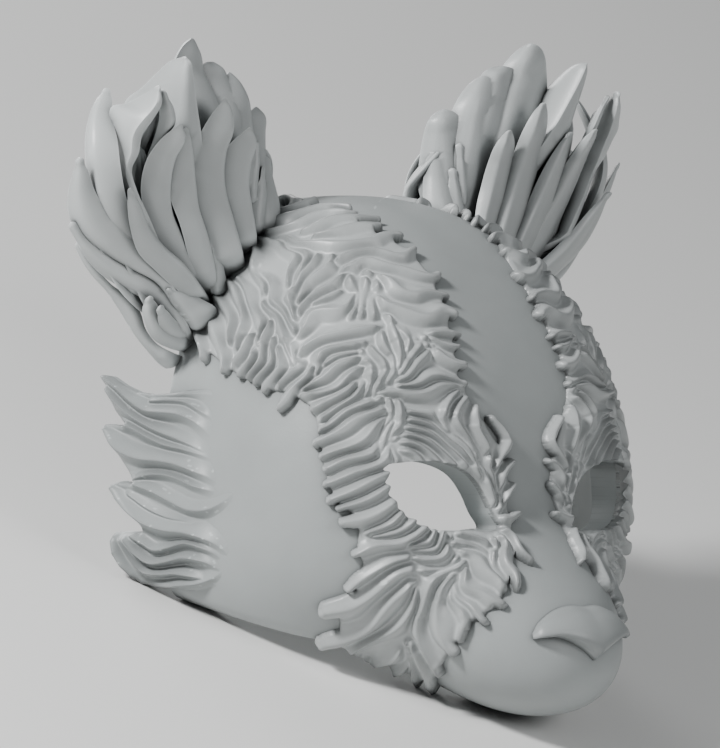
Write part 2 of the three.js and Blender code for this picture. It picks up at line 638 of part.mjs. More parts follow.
function build() {
  const outer = formSolid(0, AROUND_STEPS, UP_STEPS);
  const standing = formSolid(PIECE_GAP, AROUND_STEPS, UP_STEPS);
  const inner = formSolid(-WALL, INNER_AROUND_STEPS, INNER_UP_STEPS);
  const eyeLeft = leftEyeOpening();
  const eyeRight = mirrored(eyeLeft);
  const back = openBack();
  const underside = openUnderside();
  const cheekRight = join(CHEEK_LOCKS.map(cheekLock));
  const shell = wholePiece(outer.subtract(back).subtract(underside)
    .add(cheekRight).add(mirrored(cheekRight))
    .subtract(inner).subtract(eyeLeft).subtract(eyeRight));

  const room = furRoom();
  const cover = formSolid(FUR_SKIN, AROUND_STEPS, UP_STEPS).intersect(room);
  const locks = join(FUR_LOCKS.map(furLock)).intersect(room);
  const fur = wholePiece(furSkin(cover).add(locks)
    .subtract(standing).subtract(eyeRight).subtract(underside));
  const clearOfFur = formSolid(FUR_UNDER_EAR, AROUND_STEPS, UP_STEPS)
    .trimByPlane([0, -1, 0], FUR_TO_EAR_GAP - PIECE_GAP);
  const ear = wholePiece(rightEar(standing, clearOfFur));
  const nose = nosePad(standing);

  const pieces = [
    ['mask_shell', shell, clay],
    ['fur_patch_right', fur, clayLight],
    ['fur_patch_left', mirrored(fur), clayLight],
    ['ear_right', ear, clayLight],
    ['ear_left', mirrored(ear), clayLight],
    ['nose', nose, clayDark],
  ];
  const mask = new THREE.Group();
  for (const [name, solid, material] of pieces) {
    const mesh = new THREE.Mesh(solidToGeometry(solid), material);
    mesh.name = name;
    mask.add(mesh);
  }
  mask.rotation.x = -restLean(shell);
  mask.updateMatrixWorld(true);
  const box = new THREE.Box3().setFromObject(mask, true);
  const middle = box.getCenter(new THREE.Vector3());
  mask.position.set(-middle.x, -middle.y, -box.min.z);
  return mask;
}

export default build();
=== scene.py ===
"""Animal face mask in grey resin: shell with a short muzzle, sculpted fur relief, fur ears, nose pad.

Everything is modelled in the mask's own upright frame, in millimetres: X to the wearer's left,
Y to the back, Z up from the chin. to_row() turns it to the way the mask rests, in metres.
"""
import math

import bpy
import numpy as np
from mathutils import Matrix, Vector


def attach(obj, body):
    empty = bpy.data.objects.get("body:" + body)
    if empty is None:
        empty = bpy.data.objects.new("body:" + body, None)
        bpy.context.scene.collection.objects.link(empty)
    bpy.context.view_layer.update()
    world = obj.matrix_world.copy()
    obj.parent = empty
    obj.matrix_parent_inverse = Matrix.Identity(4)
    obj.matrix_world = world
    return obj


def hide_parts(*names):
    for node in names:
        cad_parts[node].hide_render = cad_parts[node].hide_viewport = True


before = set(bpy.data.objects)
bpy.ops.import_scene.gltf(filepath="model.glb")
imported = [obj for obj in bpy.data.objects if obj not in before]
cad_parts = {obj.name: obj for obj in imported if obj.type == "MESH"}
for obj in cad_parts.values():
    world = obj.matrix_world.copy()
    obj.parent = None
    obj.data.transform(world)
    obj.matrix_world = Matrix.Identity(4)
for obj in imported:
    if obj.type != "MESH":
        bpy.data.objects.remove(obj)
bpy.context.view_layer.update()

# How the mask rests: leaned back onto its chin and lowest cheek locks
REST_LEAN = math.radians(24.5587)
REST_SHIFT = (0.0, 2.69, -38.46)

# Face shell
FACE_HALF_WIDTH = 96
FACE_DEPTH = 103
CROWN_HEIGHT = 207
WIDEST_HEIGHT = 78
CHEEK_DEPTH_BELOW = 72
WALL = 12
SQUARENESS = 2.9
DOME_ROUNDNESS = 2.2
JAW_SLOPE = math.radians(16)
JAW_RISE = 10.5
JAW_ROUNDING = 7
CHIN_TO_EAR_LINE = 115
MUZZLE_FORWARD = 81
MUZZLE_HEIGHT = 45
MUZZLE_HALF_WIDTH = 47.5
MUZZLE_LENGTH = 64
MUZZLE_HALF_HEIGHT = 35.7
MUZZLE_DROOP = math.radians(31)
MUZZLE_BLEND = 22
RIM_BEHIND_EAR_LINE = 8
RIM_BEND_HEIGHT = 150
CROWN_RIM_BEHIND = 25
ABOVE_CROWN = 1.1 * CROWN_HEIGHT
CHIN_LIP = 26
JAW_LIP = 22
FAR_AWAY = 3 * CROWN_HEIGHT
CENTRE = np.array([0, -0.2 * FACE_DEPTH, 0.46 * CROWN_HEIGHT])

# Eye openings
EYE_WIDTH = 0.495 * FACE_HALF_WIDTH
EYE_HEIGHT = 0.1333 * CROWN_HEIGHT
EYE_FROM_MIDLINE = 0.208 * FACE_HALF_WIDTH
EYE_SILL_HEIGHT = 0.356 * CROWN_HEIGHT
EYE_OUTLINE = (
    # share of the width from the inner corner, share of the height above the sill
    (0, 0.03), (0.05, 0.27), (0.13, 0.56), (0.3, 0.85), (0.5, 0.97), (0.67, 1), (0.84, 0.98),
    (1, 0.93), (1, 0.83), (0.98, 0.56), (0.88, 0.27), (0.74, 0.08), (0.56, 0), (0.31, 0),
)

# The photograph is a three-quarter view, 45 degrees from the front. Places on the right half are
# its pixels: the midline's axis stands at one column and the chin's height at one row.
MM_PER_PIXEL = 0.4
AXIS_COLUMN = 345
CHIN_ROW = 713
TOWARD_VIEW = np.array([-1, -1, 0]) / math.sqrt(2)
VIEW_RIGHT = np.array([1, -1, 0]) / math.sqrt(2)
UP = np.array([0, 0, 1])

# Fur relief: rolls that meet in valleys half way between their crests, on a raised skin
ROLL_WANDER = 0.9
ROLL_WAVE = 3
ROLL_REACH = 3.2
NO_NEIGHBOUR = 9
FUR_SKIN_RISE = 1.3
FUR_ROLL_RISE = 3.1
FUR_ROLL_HALF_PITCH = 1.9
FUR_ROLL_SIZES = (0.45, 1.2)
FUR_WIDEST_ROLL = 1.75
FUR_CREST_ROUNDNESS = 1.1
FUR_VALLEY_ROUNDNESS = 1.15
FUR_LEAN = 0.6
FUR_SOFTENING = 3
FUR_EDGE_ROUNDING = 1.2
FUR_SKIN_MARGIN = 1.9
FUR_SUNK = 0.6
FUR_BELOW = 1.6
FUR_TURNS = (-78, 120)
FUR_OUTS = (24, 89.5)
FUR_GRID = (860, 290)

# Ears
EAR_FROM_MIDLINE = 0.667 * FACE_HALF_WIDTH
EAR_ROOT_HEIGHT = 0.812 * CROWN_HEIGHT
EAR_HEIGHT = 98
EAR_MIDDLE_OUT = 0.25
EAR_LOCK_THICKNESS = 4.4
EAR_BASE_THICKNESS = 0.7 * EAR_LOCK_THICKNESS
EAR_BASE_TURN = 1.2
EAR_BASE_RIDGES = 2
EAR_BASE_RIDGE_DEPTH = 0.2
EAR_BASE_SIDES = 40
EAR_LOCK_FRONT = 0.5
EAR_LOCK_BACK = 0.4
EAR_LOCK_WIDENING = 1.06
EAR_LOCK_FULLNESS = 0.65
EAR_RING_CROWDING = 1.7
EAR_ROOT_DIP = 12
EAR_ROOT_SHARE = 0.14
EAR_TIP_RADIUS = 1.9

# Cheek locks, with columns and rows in pixels
CHEEK_RIM_COLUMN = 178
CHEEK_TIP_COLUMN = 107
CHEEK_ROOT_COLUMN = 228
CHEEK_RIM_FADE = 24
CHEEK_ROOT_FADE = 40
CHEEK_COLUMNS = (99, 252)
CHEEK_ROWS = (370, 598)
CHEEK_GRID = (300, 420)
CHEEK_FLARE = 11
CHEEK_FLARE_BEND = 1.4
CHEEK_TILT = 0.4
CHEEK_CREST_RISE = 5.6
CHEEK_CREST_SHARPNESS = 1.4
CHEEK_CREST_GROWTH = 0.35
CHEEK_VALLEY_RISE = 0.35
CHEEK_ROOT_SUNK = 0.3
CHEEK_ROOT_DEPTH = 2.5
CHEEK_DEPTH = 7
CHEEK_EDGE_ROUNDING = 3.5

# Nose pad
NOSE_HALF_WIDTH = 25
NOSE_BOTTOM_HEIGHT = 22.5
NOSE_HEIGHT = 21
NOSE_STAND_OUT = 4.5
NOSE_FULLNESS = 1.35
NOSE_SUNK = 3

# Steps around and from pole to pole of the closed forms
SHELL_STEPS = (440, 220)
HOLLOW_STEPS = (160, 80)
HEAD_STEPS = (240, 120)
MOST_TRIANGLES = 180000
POINTS_AT_ONCE = 8000


def unit(vectors):
    return vectors / np.maximum(np.linalg.norm(vectors, axis=-1, keepdims=True), 1e-9)


def smooth(share):
    share = np.clip(share, 0, 1)
    return share * share * (3 - 2 * share)


def blend(a, b, reach):
    """Smooth union of two distances."""
    share = np.clip(0.5 + 0.5 * (b - a) / reach, 0, 1)
    return b * (1 - share) + a * share - reach * share * (1 - share)


def form(points):
    """Distance-like measure of the face's outer form: below zero inside, above zero outside."""
    x, y, z = points[..., 0], points[..., 1], points[..., 2]
    rise = z - WIDEST_HEIGHT
    height = np.where(rise > 0, CROWN_HEIGHT - WIDEST_HEIGHT, CHEEK_DEPTH_BELOW)
    plan = (np.abs(x / FACE_HALF_WIDTH) ** SQUARENESS + np.abs(y / FACE_DEPTH) ** SQUARENESS)
    plan = plan ** (DOME_ROUNDNESS / SQUARENESS)
    dome = (plan + np.abs(rise / height) ** DOME_ROUNDNESS) ** (1 / DOME_ROUNDNESS)
    floor = (y + CHIN_TO_EAR_LINE) * math.sin(JAW_SLOPE) - (z - JAW_RISE) * math.cos(JAW_SLOPE)
    head = -blend((1 - dome) * FACE_DEPTH, -floor, JAW_ROUNDING)
    forward = y + MUZZLE_FORWARD
    above = z - MUZZLE_HEIGHT
    along = forward * math.cos(MUZZLE_DROOP) + above * math.sin(MUZZLE_DROOP)
    across = above * math.cos(MUZZLE_DROOP) - forward * math.sin(MUZZLE_DROOP)
    muzzle = np.sqrt(
        (x / MUZZLE_HALF_WIDTH) ** 2 + (along / MUZZLE_LENGTH) ** 2 + (across / MUZZLE_HALF_HEIGHT) ** 2
    ) - 1
    return blend(head, muzzle * MUZZLE_HALF_WIDTH, MUZZLE_BLEND)


def outward(points, step=0.2):
    slope = [form(points + step * axis) - form(points - step * axis) for axis in np.eye(3)]
    return unit(np.stack(slope, axis=-1))


def meet(origins, directions, inside, outside):
    """Points on the outer form on lines, between a distance that is inside and one outside."""
    low = np.full(np.broadcast(origins, directions).shape[:-1], float(inside))
    high = np.full_like(low, float(outside))
    for _ in range(32):
        middle = (low + high) / 2
        within = form(origins + middle[..., None] * directions) < 0
        low = np.where(within, middle, low)
        high = np.where(within, high, middle)
    return origins + low[..., None] * directions


def from_pixels(pixels, toward):
    """Places of the photograph's pixels, on a plane that stands toward the view by a distance."""
    pixels = np.asarray(pixels, float)
    across = (pixels[..., 0] - AXIS_COLUMN) * MM_PER_PIXEL
    up = (CHIN_ROW - pixels[..., 1]) * MM_PER_PIXEL
    return across[..., None] * VIEW_RIGHT + up[..., None] * UP + toward * TOWARD_VIEW


def to_pixels(points):
    across = points @ VIEW_RIGHT
    return np.stack([AXIS_COLUMN + across / MM_PER_PIXEL, CHIN_ROW - points[..., 2] / MM_PER_PIXEL], axis=-1)


def on_face(pixels):
    """First points of the face that the photograph's view meets at its pixels."""
    reach = 1.6 * CROWN_HEIGHT
    steps = 160
    start = from_pixels(pixels, reach / 2)
    travelled = np.linspace(0, reach, steps)
    probes = start[:, None, :] - travelled[None, :, None] * TOWARD_VIEW
    values = form(probes)
    hit = (values < 0).any(axis=1)
    first = np.where(hit, (values < 0).argmax(axis=1), values.argmin(axis=1))
    nearest = probes[np.arange(len(start)), first]
    met = meet(nearest, TOWARD_VIEW, 0, reach / (steps - 1))
    return np.where(hit[:, None], met, nearest)


def curve_through(points, count):
    """Evenly counted points on a smooth curve through a few given ones."""
    points = np.asarray(points, float)
    lengths = np.linalg.norm(np.diff(points, axis=0), axis=1)
    knots = np.concatenate([[0], np.cumsum(lengths)])
    tangents = np.gradient(points, knots, axis=0, edge_order=1)
    where = np.linspace(0, knots[-1], count)
    piece = np.clip(np.searchsorted(knots, where, side="right") - 1, 0, len(points) - 2)
    width = lengths[piece]
    s = ((where - knots[piece]) / width)[:, None]
    width = width[:, None]
    return (
        (2 * s**3 - 3 * s**2 + 1) * points[piece]
        + (s**3 - 2 * s**2 + s) * width * tangents[piece]
        + (3 * s**2 - 2 * s**3) * points[piece + 1]
        + (s**3 - s**2) * width * tangents[piece + 1]
    )


def leaned(vectors):
    """Directions in the upright frame, turned to the row frame."""
    x, y, z = np.asarray(vectors, float).T
    return np.stack([
        x,
        y * math.cos(REST_LEAN) + z * math.sin(REST_LEAN),
        z * math.cos(REST_LEAN) - y * math.sin(REST_LEAN),
    ], axis=-1)


def to_row(points):
    """From the upright frame in millimetres to the row frame in metres."""
    return (leaned(points) + np.array(REST_SHIFT)) * 0.001


def above_table(points):
    """Lifts points that would sink into the table straight up onto it."""
    up = np.array([0, -math.sin(REST_LEAN), math.cos(REST_LEAN)])
    sunk = np.maximum(-(points @ up + REST_SHIFT[2]), 0)
    return points + sunk[..., None] * up


def add_object(name, data):
    made = bpy.data.objects.new(name, data)
    bpy.context.scene.collection.objects.link(made)
    return made


def make_object(name, points, faces):
    mesh = bpy.data.meshes.new(name)
    mesh.from_pydata(to_row(points).tolist(), [], [tuple(face) for face in faces])
    mesh.update()
    return add_object(name, mesh)


def apply_modifiers(made):
    bpy.context.view_layer.update()
    result = made.evaluated_get(bpy.context.evaluated_depsgraph_get())
    mesh = bpy.data.meshes.new_from_object(result)
    made.modifiers.clear()
    made.data = mesh


def combine(made, others, operation):
    """Cuts others from made, or joins them to it."""
    for other in others:
        modifier = made.modifiers.new(operation, "BOOLEAN")
        modifier.operation = operation
        modifier.object = other
        modifier.solver = "MANIFOLD"
    apply_modifiers(made)


def discard(others):
    for other in others:
        bpy.data.objects.remove(other)


def thin_out(made):
    count = sum(len(face.vertices) - 2 for face in made.data.polygons)
    if count > MOST_TRIANGLES:
        modifier = made.modifiers.new("thin", "DECIMATE")
        modifier.ratio = MOST_TRIANGLES / count
        apply_modifiers(made)
    return made


def shade(made, sharp_angle):
    made.data.shade_smooth()
    made.data.set_sharp_from_angle(angle=math.radians(sharp_angle))
    return made


def mirrored(made, name):
    """The same piece for the left half."""
    mesh = made.data.copy()
    mesh.transform(Matrix.Scale(-1, 4, Vector((1, 0, 0))))
    mesh.flip_normals()
    return add_object(name, mesh)


def form_solid(name, offset, steps):
    """Closed surface at an even distance from the outer form, as rows of latitude."""
    around, up = steps
    turn = 2 * math.pi * np.arange(around) / around
    tilt = math.pi * (0.5 - np.arange(1, up) / up)
    turn, tilt = np.meshgrid(turn, tilt)
    rows = np.stack([np.sin(turn) * np.cos(tilt), -np.cos(turn) * np.cos(tilt), np.sin(tilt)], axis=-1)
    directions = np.concatenate([[UP], rows.reshape(-1, 3), [-UP]])
    points = meet(CENTRE, directions, 0, FAR_AWAY)
    points = points + offset * outward(points)
    last = len(points) - 1
    column = np.arange(around)
    following = (column + 1) % around
    faces = [(0, 1 + a, 1 + b) for a, b in zip(column, following)]
    low = 1 + (up - 2) * around
    faces += [(last, low + b, low + a) for a, b in zip(column, following)]
    for row in range(up - 2):
        start = 1 + row * around
        faces += [
            (start + a, start + around + a, start + around + b, start + b)
            for a, b in zip(column, following)
        ]
    return make_object(name, points, faces)


def prism(name, outline, low, high, place):
    """Closed prism: an outline of two coordinates, between two depths, placed by a function."""
    outline = np.asarray(outline, float)
    count = len(outline)
    points = [place(a, b, depth) for depth in (low, high) for a, b in outline]
    sides = [(i, (i + 1) % count, count + (i + 1) % count, count + i) for i in range(count)]
    ends = [tuple(reversed(range(count))), tuple(range(count, 2 * count))]
    made = make_object(name, points, sides + ends)
    facing = sum(a * d - b * c for (a, b), (c, d) in zip(outline, np.roll(outline, -1, axis=0)))
    axis = np.linalg.det([
        np.subtract(place(1, 0, 0), place(0, 0, 0)),
        np.subtract(place(0, 1, 0), place(0, 0, 0)),
        np.subtract(place(0, 0, 1), place(0, 0, 0)),
    ])
    if facing * axis * (high - low) < 0:
        made.data.flip_normals()
    return made


def rounded_outline(outline, count):
    """A closed outline as a smooth curve. The count is that of a quarter of it, with an overlap."""
    closed = np.asarray(list(outline) + list(outline[:3]), float)
    lead = curve_through(closed, count * 4)
    start = np.abs(lead - closed[1]).sum(axis=1).argmin()
    stop = start + np.abs(lead[start + count:] - closed[1 + len(outline)]).sum(axis=1).argmin() + count
    return lead[start:stop]


def eye_opening(side):
    outline = [
        (EYE_FROM_MIDLINE + along * EYE_WIDTH, EYE_SILL_HEIGHT + above * EYE_HEIGHT)
        for along, above in rounded_outline(EYE_OUTLINE, 36)
    ]
    return prism(
        "eye_opening", outline, -FACE_DEPTH * 1.5, -FACE_DEPTH * 0.4,
        lambda x, z, y: (side * x, y, z),
    )


def open_back():
    outline = [
        (RIM_BEHIND_EAR_LINE, -CROWN_HEIGHT), (FAR_AWAY, -CROWN_HEIGHT), (FAR_AWAY, ABOVE_CROWN),
        (CROWN_RIM_BEHIND, ABOVE_CROWN), (RIM_BEHIND_EAR_LINE, RIM_BEND_HEIGHT),
    ]
    return prism("open_back", outline, -FAR_AWAY, FAR_AWAY, lambda y, z, x: (x, y, z))


def open_underside():
    half_width = FACE_HALF_WIDTH - JAW_LIP
    front = FACE_DEPTH - CHIN_LIP
    turn = np.linspace(0, math.pi, 60)
    across = np.sign(np.cos(turn)) * np.abs(np.cos(turn)) ** (2 / SQUARENESS) * half_width
    forward = np.sin(turn) ** (2 / SQUARENESS) * front
    outline = [(half_width, -FAR_AWAY / 4), *zip(across, forward), (-half_width, -FAR_AWAY / 4)]
    return prism(
        "open_underside", outline, -CROWN_HEIGHT * 0.3, CROWN_HEIGHT * 0.3,
        lambda x, forward, z: (x, -forward, z),
    )


def leaf(share, root, widest, fullness):
    """Width along a lock as a share of its widest: from the root's, to a rounded point."""
    rising = root + (1 - root) * np.sin(np.clip(share / widest, 0, 1) * math.pi / 2)
    falling = np.clip((share - widest) / (1 - widest), 0, 1)
    return rising * np.sqrt(np.clip(1 - falling**fullness, 0, 1))


# Strands of the fur relief: half width in pixels, then pixels from the root to the tip
CROWN_STRANDS = (
    (5, (268, 214), (287, 206), (305, 208)),
    (4.5, (258, 227), (290, 216), (317, 207)),
    (5, (262, 232), (298, 222), (327, 213), (348, 215)),
    (5, (272, 237), (302, 229), (326, 220), (355, 219)),
    (4.5, (303, 239), (325, 230), (350, 223), (374, 225)),
    (4.5, (318, 240), (345, 236), (378, 232)),
    (6.5, (282, 244), (310, 249), (335, 251), (365, 246), (397, 241)),
    (6, (336, 266), (355, 261), (372, 257), (395, 260), (413, 257)),
    (6.5, (344, 273), (370, 268), (395, 275), (415, 279), (433, 279)),
    (6.5, (366, 275), (385, 285), (405, 296), (425, 299), (440, 299)),
    (8.5, (376, 298), (390, 311), (415, 318), (440, 315), (451, 318)),
    (4.5, (425, 337), (440, 334), (453, 339)),
    (4, (428, 341), (442, 347), (453, 350)),
    (6, (416, 343), (436, 357), (461, 366)),
    (6, (400, 386), (428, 380), (458, 382)),
    (6, (380, 396), (410, 393), (436, 389), (455, 386)),
)
SWIRL_STRANDS = (
    (5, (262, 244), (284, 250), (297, 263), (293, 285)),
    (4.5, (290, 249), (306, 257), (306, 270), (295, 288)),
    (5.5, (318, 262), (305, 281), (293, 297), (298, 320)),
    (6, (334, 262), (324, 277), (308, 289), (300, 306)),
    (5, (347, 276), (336, 289), (316, 298), (304, 316)),
    (3.5, (342, 296), (330, 300), (317, 307)),
    (6, (355, 300), (342, 314), (318, 318), (302, 334)),
    (4.5, (350, 277), (358, 298), (353, 318)),
    (4, (364, 280), (361, 300), (361, 318)),
    (4.5, (373, 280), (376, 298), (371, 320)),
    (5.5, (378, 331), (345, 334), (325, 337), (303, 356)),
    (5, (370, 343), (345, 348), (328, 353), (316, 376)),
    (4, (358, 353), (342, 358), (326, 368)),
    (6, (362, 358), (342, 368), (325, 380), (308, 392)),
    (5, (364, 370), (350, 380), (332, 393), (306, 399)),
    (5, (360, 350), (370, 372), (364, 398)),
    (5, (370, 345), (382, 368), (374, 400)),
    (5, (379, 333), (390, 355), (386, 383)),
    (6, (386, 322), (397, 342), (394, 366)),
    (5, (392, 328), (405, 340), (404, 358)),
    (5, (424, 338), (412, 352), (398, 372)),
    (5, (428, 348), (416, 364), (398, 380)),
)
TEMPLE_STRANDS = (
    (5, (257, 248), (261, 272), (270, 300)),
    (5.5, (262, 272), (276, 291), (283, 310), (297, 333)),
    (5.5, (269, 300), (279, 322), (291, 342), (296, 366)),
    (5.5, (242, 283), (256, 303), (265, 328), (260, 352)),
    (5, (231, 284), (246, 304), (248, 328), (241, 352)),
    (5, (222, 300), (234, 318), (237, 342)),
    (6, (208, 318), (225, 340), (230, 375)),
    (5.5, (200, 330), (207, 346), (208, 360)),
    (7, (257, 340), (248, 354), (238, 366)),
    (7, (262, 348), (253, 364), (246, 377)),
    (7, (272, 328), (268, 350), (256, 376)),
    (7, (279, 342), (273, 364), (262, 382)),
    (8, (284, 350), (281, 372), (270, 389)),
    (6.5, (313, 371), (300, 390), (281, 411)),
    (6.5, (295, 345), (299, 362), (286, 386)),
)
OUTER_STRANDS = (
    (7, (352, 388), (335, 402), (316, 411)),
    (6, (364, 386), (348, 403), (322, 419)),
    (7, (380, 400), (352, 412), (322, 429)),
    (8, (380, 412), (350, 424), (321, 441)),
    (7, (383, 420), (362, 438), (326, 454)),
    (7, (390, 425), (375, 450), (345, 458), (326, 466)),
    (7, (396, 440), (380, 462), (352, 471), (327, 480)),
    (8, (386, 472), (360, 483), (335, 496)),
    (6, (386, 486), (362, 496), (342, 504)),
    (8, (392, 502), (368, 514), (343, 518)),
    (4.5, (399, 513), (385, 524), (370, 528)),
)
LID_STRANDS = (
    (4.5, (388, 402), (384, 425), (378, 452)),
    (5, (396, 402), (393, 430), (394, 462)),
    (3.5, (405, 412), (432, 416), (446, 433), (470, 452)),
    (3.5, (405, 420), (430, 423), (447, 443), (470, 463)),
    (3.5, (405, 428), (428, 431), (442, 447), (463, 468)),
    (3.5, (404, 436), (422, 438), (436, 449), (452, 464)),
    (3.5, (402, 444), (415, 445), (428, 454), (440, 464)),
    (3.5, (400, 452), (410, 455), (420, 464)),
    (4.5, (452, 392), (440, 410), (446, 432), (466, 452), (478, 474)),
    (4.5, (460, 398), (452, 418), (462, 440), (478, 462)),
    (6, (482, 448), (471, 428), (471, 407)),
    (7, (491, 466), (500, 442), (488, 421)),
    (5, (492, 490), (498, 474), (508, 461)),
    (4, (497, 503), (502, 492), (507, 484)),
    (5, (494, 514), (506, 519), (515, 516)),
    (4, (484, 450), (489, 480), (494, 515)),
    (4.5, (474, 455), (482, 475), (488, 500)),
)
JAW_STRANDS = (
    (4.5, (412, 518), (396, 530), (375, 533)),
    (6, (420, 525), (400, 540), (372, 541), (356, 549)),
    (4, (430, 527), (424, 540), (408, 544)),
    (4, (440, 527), (434, 545), (412, 550)),
    (4.5, (449, 535), (438, 553), (412, 556)),
    (4.5, (456, 551), (444, 563), (418, 568)),
    (7, (410, 555), (385, 560), (362, 573), (348, 586)),
    (11, (412, 567), (395, 572), (375, 588), (350, 600), (328, 606)),
    (11, (409, 582), (400, 590), (385, 605), (368, 621), (347, 630), (326, 637)),
    (7, (412, 585), (409, 606), (398, 618), (380, 630), (350, 641)),
    (6, (410, 634), (396, 648), (378, 654), (355, 650)),
    (5, (411, 645), (404, 660), (393, 667), (380, 662)),
    (7, (460, 560), (438, 570), (425, 584), (420, 606), (425, 632), (440, 666)),
    (8, (450, 572), (438, 592), (440, 615), (456, 645)),
    (6, (454, 578), (453, 594), (463, 612), (462, 634)),
    (6, (455, 575), (459, 593), (472, 606), (484, 618)),
    (6, (462, 565), (467, 582), (482, 592), (503, 601)),
    (8, (458, 550), (478, 561), (491, 573), (498, 585)),
    (4, (448, 538), (468, 546), (484, 556)),
    (4, (458, 532), (475, 540), (488, 549)),
    (5, (488, 540), (492, 560), (500, 578)),
    (7, (497, 538), (503, 560), (515, 585)),
    (5, (502, 530), (514, 547), (527, 560)),
    (5, (406, 640), (413, 662), (423, 681)),
    (6.5, (414, 636), (425, 660), (436, 683)),
)
FUR_STRANDS = (
    *CROWN_STRANDS, *SWIRL_STRANDS, *TEMPLE_STRANDS, *OUTER_STRANDS, *LID_STRANDS, *JAW_STRANDS,
)

# Skin that the strands grow from, just inside their tips, in pixels
FUR_OUTLINE = (
    (262, 215), (300, 212), (340, 222), (375, 240), (405, 256), (425, 280), (438, 310),
    (445, 340), (450, 375), (462, 401), (478, 425), (493, 450), (500, 480), (500, 513),
    (508, 545), (505, 572), (492, 600), (468, 615), (445, 645), (430, 672), (400, 662),
    (372, 650), (345, 640), (345, 600), (360, 590), (368, 560), (362, 545), (365, 515),
    (345, 500), (338, 490), (330, 470), (325, 430), (318, 405), (294, 388), (272, 386),
    (244, 372), (225, 358), (205, 342), (208, 310), (236, 280), (255, 250),
)


def inside_outline(pixels, outline):
    """Whether each pixel lies inside a closed outline."""
    u, v = pixels[:, 0], pixels[:, 1]
    inside = np.zeros(len(pixels), bool)
    for (u0, v0), (u1, v1) in zip(outline, outline[1:] + outline[:1]):
        if v0 != v1:
            crosses = (v0 > v) != (v1 > v)
            inside ^= crosses & (u < u0 + (v - v0) * (u1 - u0) / (v1 - v0))
    return inside


def to_line(points, line):
    """Distance of points to a line of short steps, then for its nearest point the share of the
    line's length, the step that it is on, and the way from it to the point."""
    start, step = line[:-1], np.diff(line, axis=0)
    lengths = np.linalg.norm(step, axis=1)
    before = np.concatenate([[0], np.cumsum(lengths)])
    found = []
    # A few thousand points at once, to save memory
    for first in range(0, max(len(points), 1), POINTS_AT_ONCE):
        offset = points[first:first + POINTS_AT_ONCE, None] - start[None]
        along = np.clip((offset * step).sum(-1) / np.maximum(lengths**2, 1e-9), 0, 1)
        gap = offset - along[..., None] * step
        distance = np.linalg.norm(gap, axis=-1)
        best = distance.argmin(axis=1)
        rows = np.arange(len(best))
        share = (before[best] + along[rows, best] * lengths[best]) / lengths.sum()
        found.append((distance[rows, best], share, best, gap[rows, best]))
    return [np.concatenate(part) for part in zip(*found)]


def from_outline(pixels, outline):
    """Distance in millimetres from each pixel inward from a closed outline, negative outside it."""
    corners = np.array(outline + outline[:1], float)
    distance = to_line(pixels, corners)[0] * MM_PER_PIXEL
    return np.where(inside_outline(pixels, outline), distance, -distance)


def wandering(points):
    """Small sideways shifts that make straight rolls wander a little."""
    x, y, z = points.T / ROLL_WAVE
    shift = ROLL_WANDER * np.stack([
        np.sin(y + 0.7 * z), np.sin(0.9 * z + 0.8 * x + 1), np.sin(x + 0.7 * y + 2),
    ], axis=-1)
    normals = outward(points)
    return shift - (shift * normals).sum(-1, keepdims=True) * normals


def roll_swell(share):
    """Width along a roll as a share of its widest: narrower at its root and its tip."""
    return (0.6 + 0.4 * smooth(share / 0.35)) * (1 - 0.3 * smooth((share - 0.7) / 0.3))


class Rolls:
    """The nearest and the next roll to every point of a surface, in the rolls' half widths."""

    def __init__(self, points, strands):
        points = points + wandering(points)
        self.near = np.full(len(points), np.inf)
        self.next = np.full(len(points), np.inf)
        self.side = np.zeros(len(points))
        self.width = np.ones(len(points))
        for width, *pixels in strands:
            line = on_face(curve_through(pixels, 18))
            self.add(points, line, outward(line), width * MM_PER_PIXEL)

    def add(self, points, line, normals, half_width):
        reach = ROLL_REACH * half_width
        low, high = line.min(axis=0) - reach, line.max(axis=0) + reach
        rows = np.nonzero(((points > low) & (points < high)).all(axis=1))[0]
        distance, share, step, gap = to_line(points[rows], line)
        measure = distance / (half_width * roll_swell(share))
        sideways = unit(np.cross(np.diff(line, axis=0), normals[:-1]))
        sideways = (sideways * np.where(sideways[:, 2:] > 0, -1, 1))[step]
        nearer = measure < self.near[rows]
        self.next[rows] = np.where(nearer, self.near[rows], np.minimum(self.next[rows], measure))
        first = rows[nearer]
        self.near[first] = measure[nearer]
        self.side[first] = np.sign((gap * sideways).sum(-1))[nearer]
        self.width[first] = half_width

    def across(self, widest):
        """From 0 on a roll's crest to 1 in the valley beside it, and half the roll's pitch."""
        pitch = np.minimum((self.near + np.minimum(self.next, NO_NEIGHBOUR)) / 2, widest)
        return np.clip(self.near / pitch, 0, 1), pitch * self.width


def softened(heights, times):
    """Evens heights out over neighbouring points of a grid."""
    for _ in range(times):
        for axis in (0, 1):
            before, after = np.roll(heights, 1, axis), np.roll(heights, -1, axis)
            heights = (before + 2 * heights + after) / 4
    return heights


def rounded_edge(distance, radius):
    """How far a surface sinks near its edge, as a share of the edge's radius."""
    inward = 1 - np.clip(distance / radius, 0, 1)
    return 1 - np.sqrt(1 - inward**2)


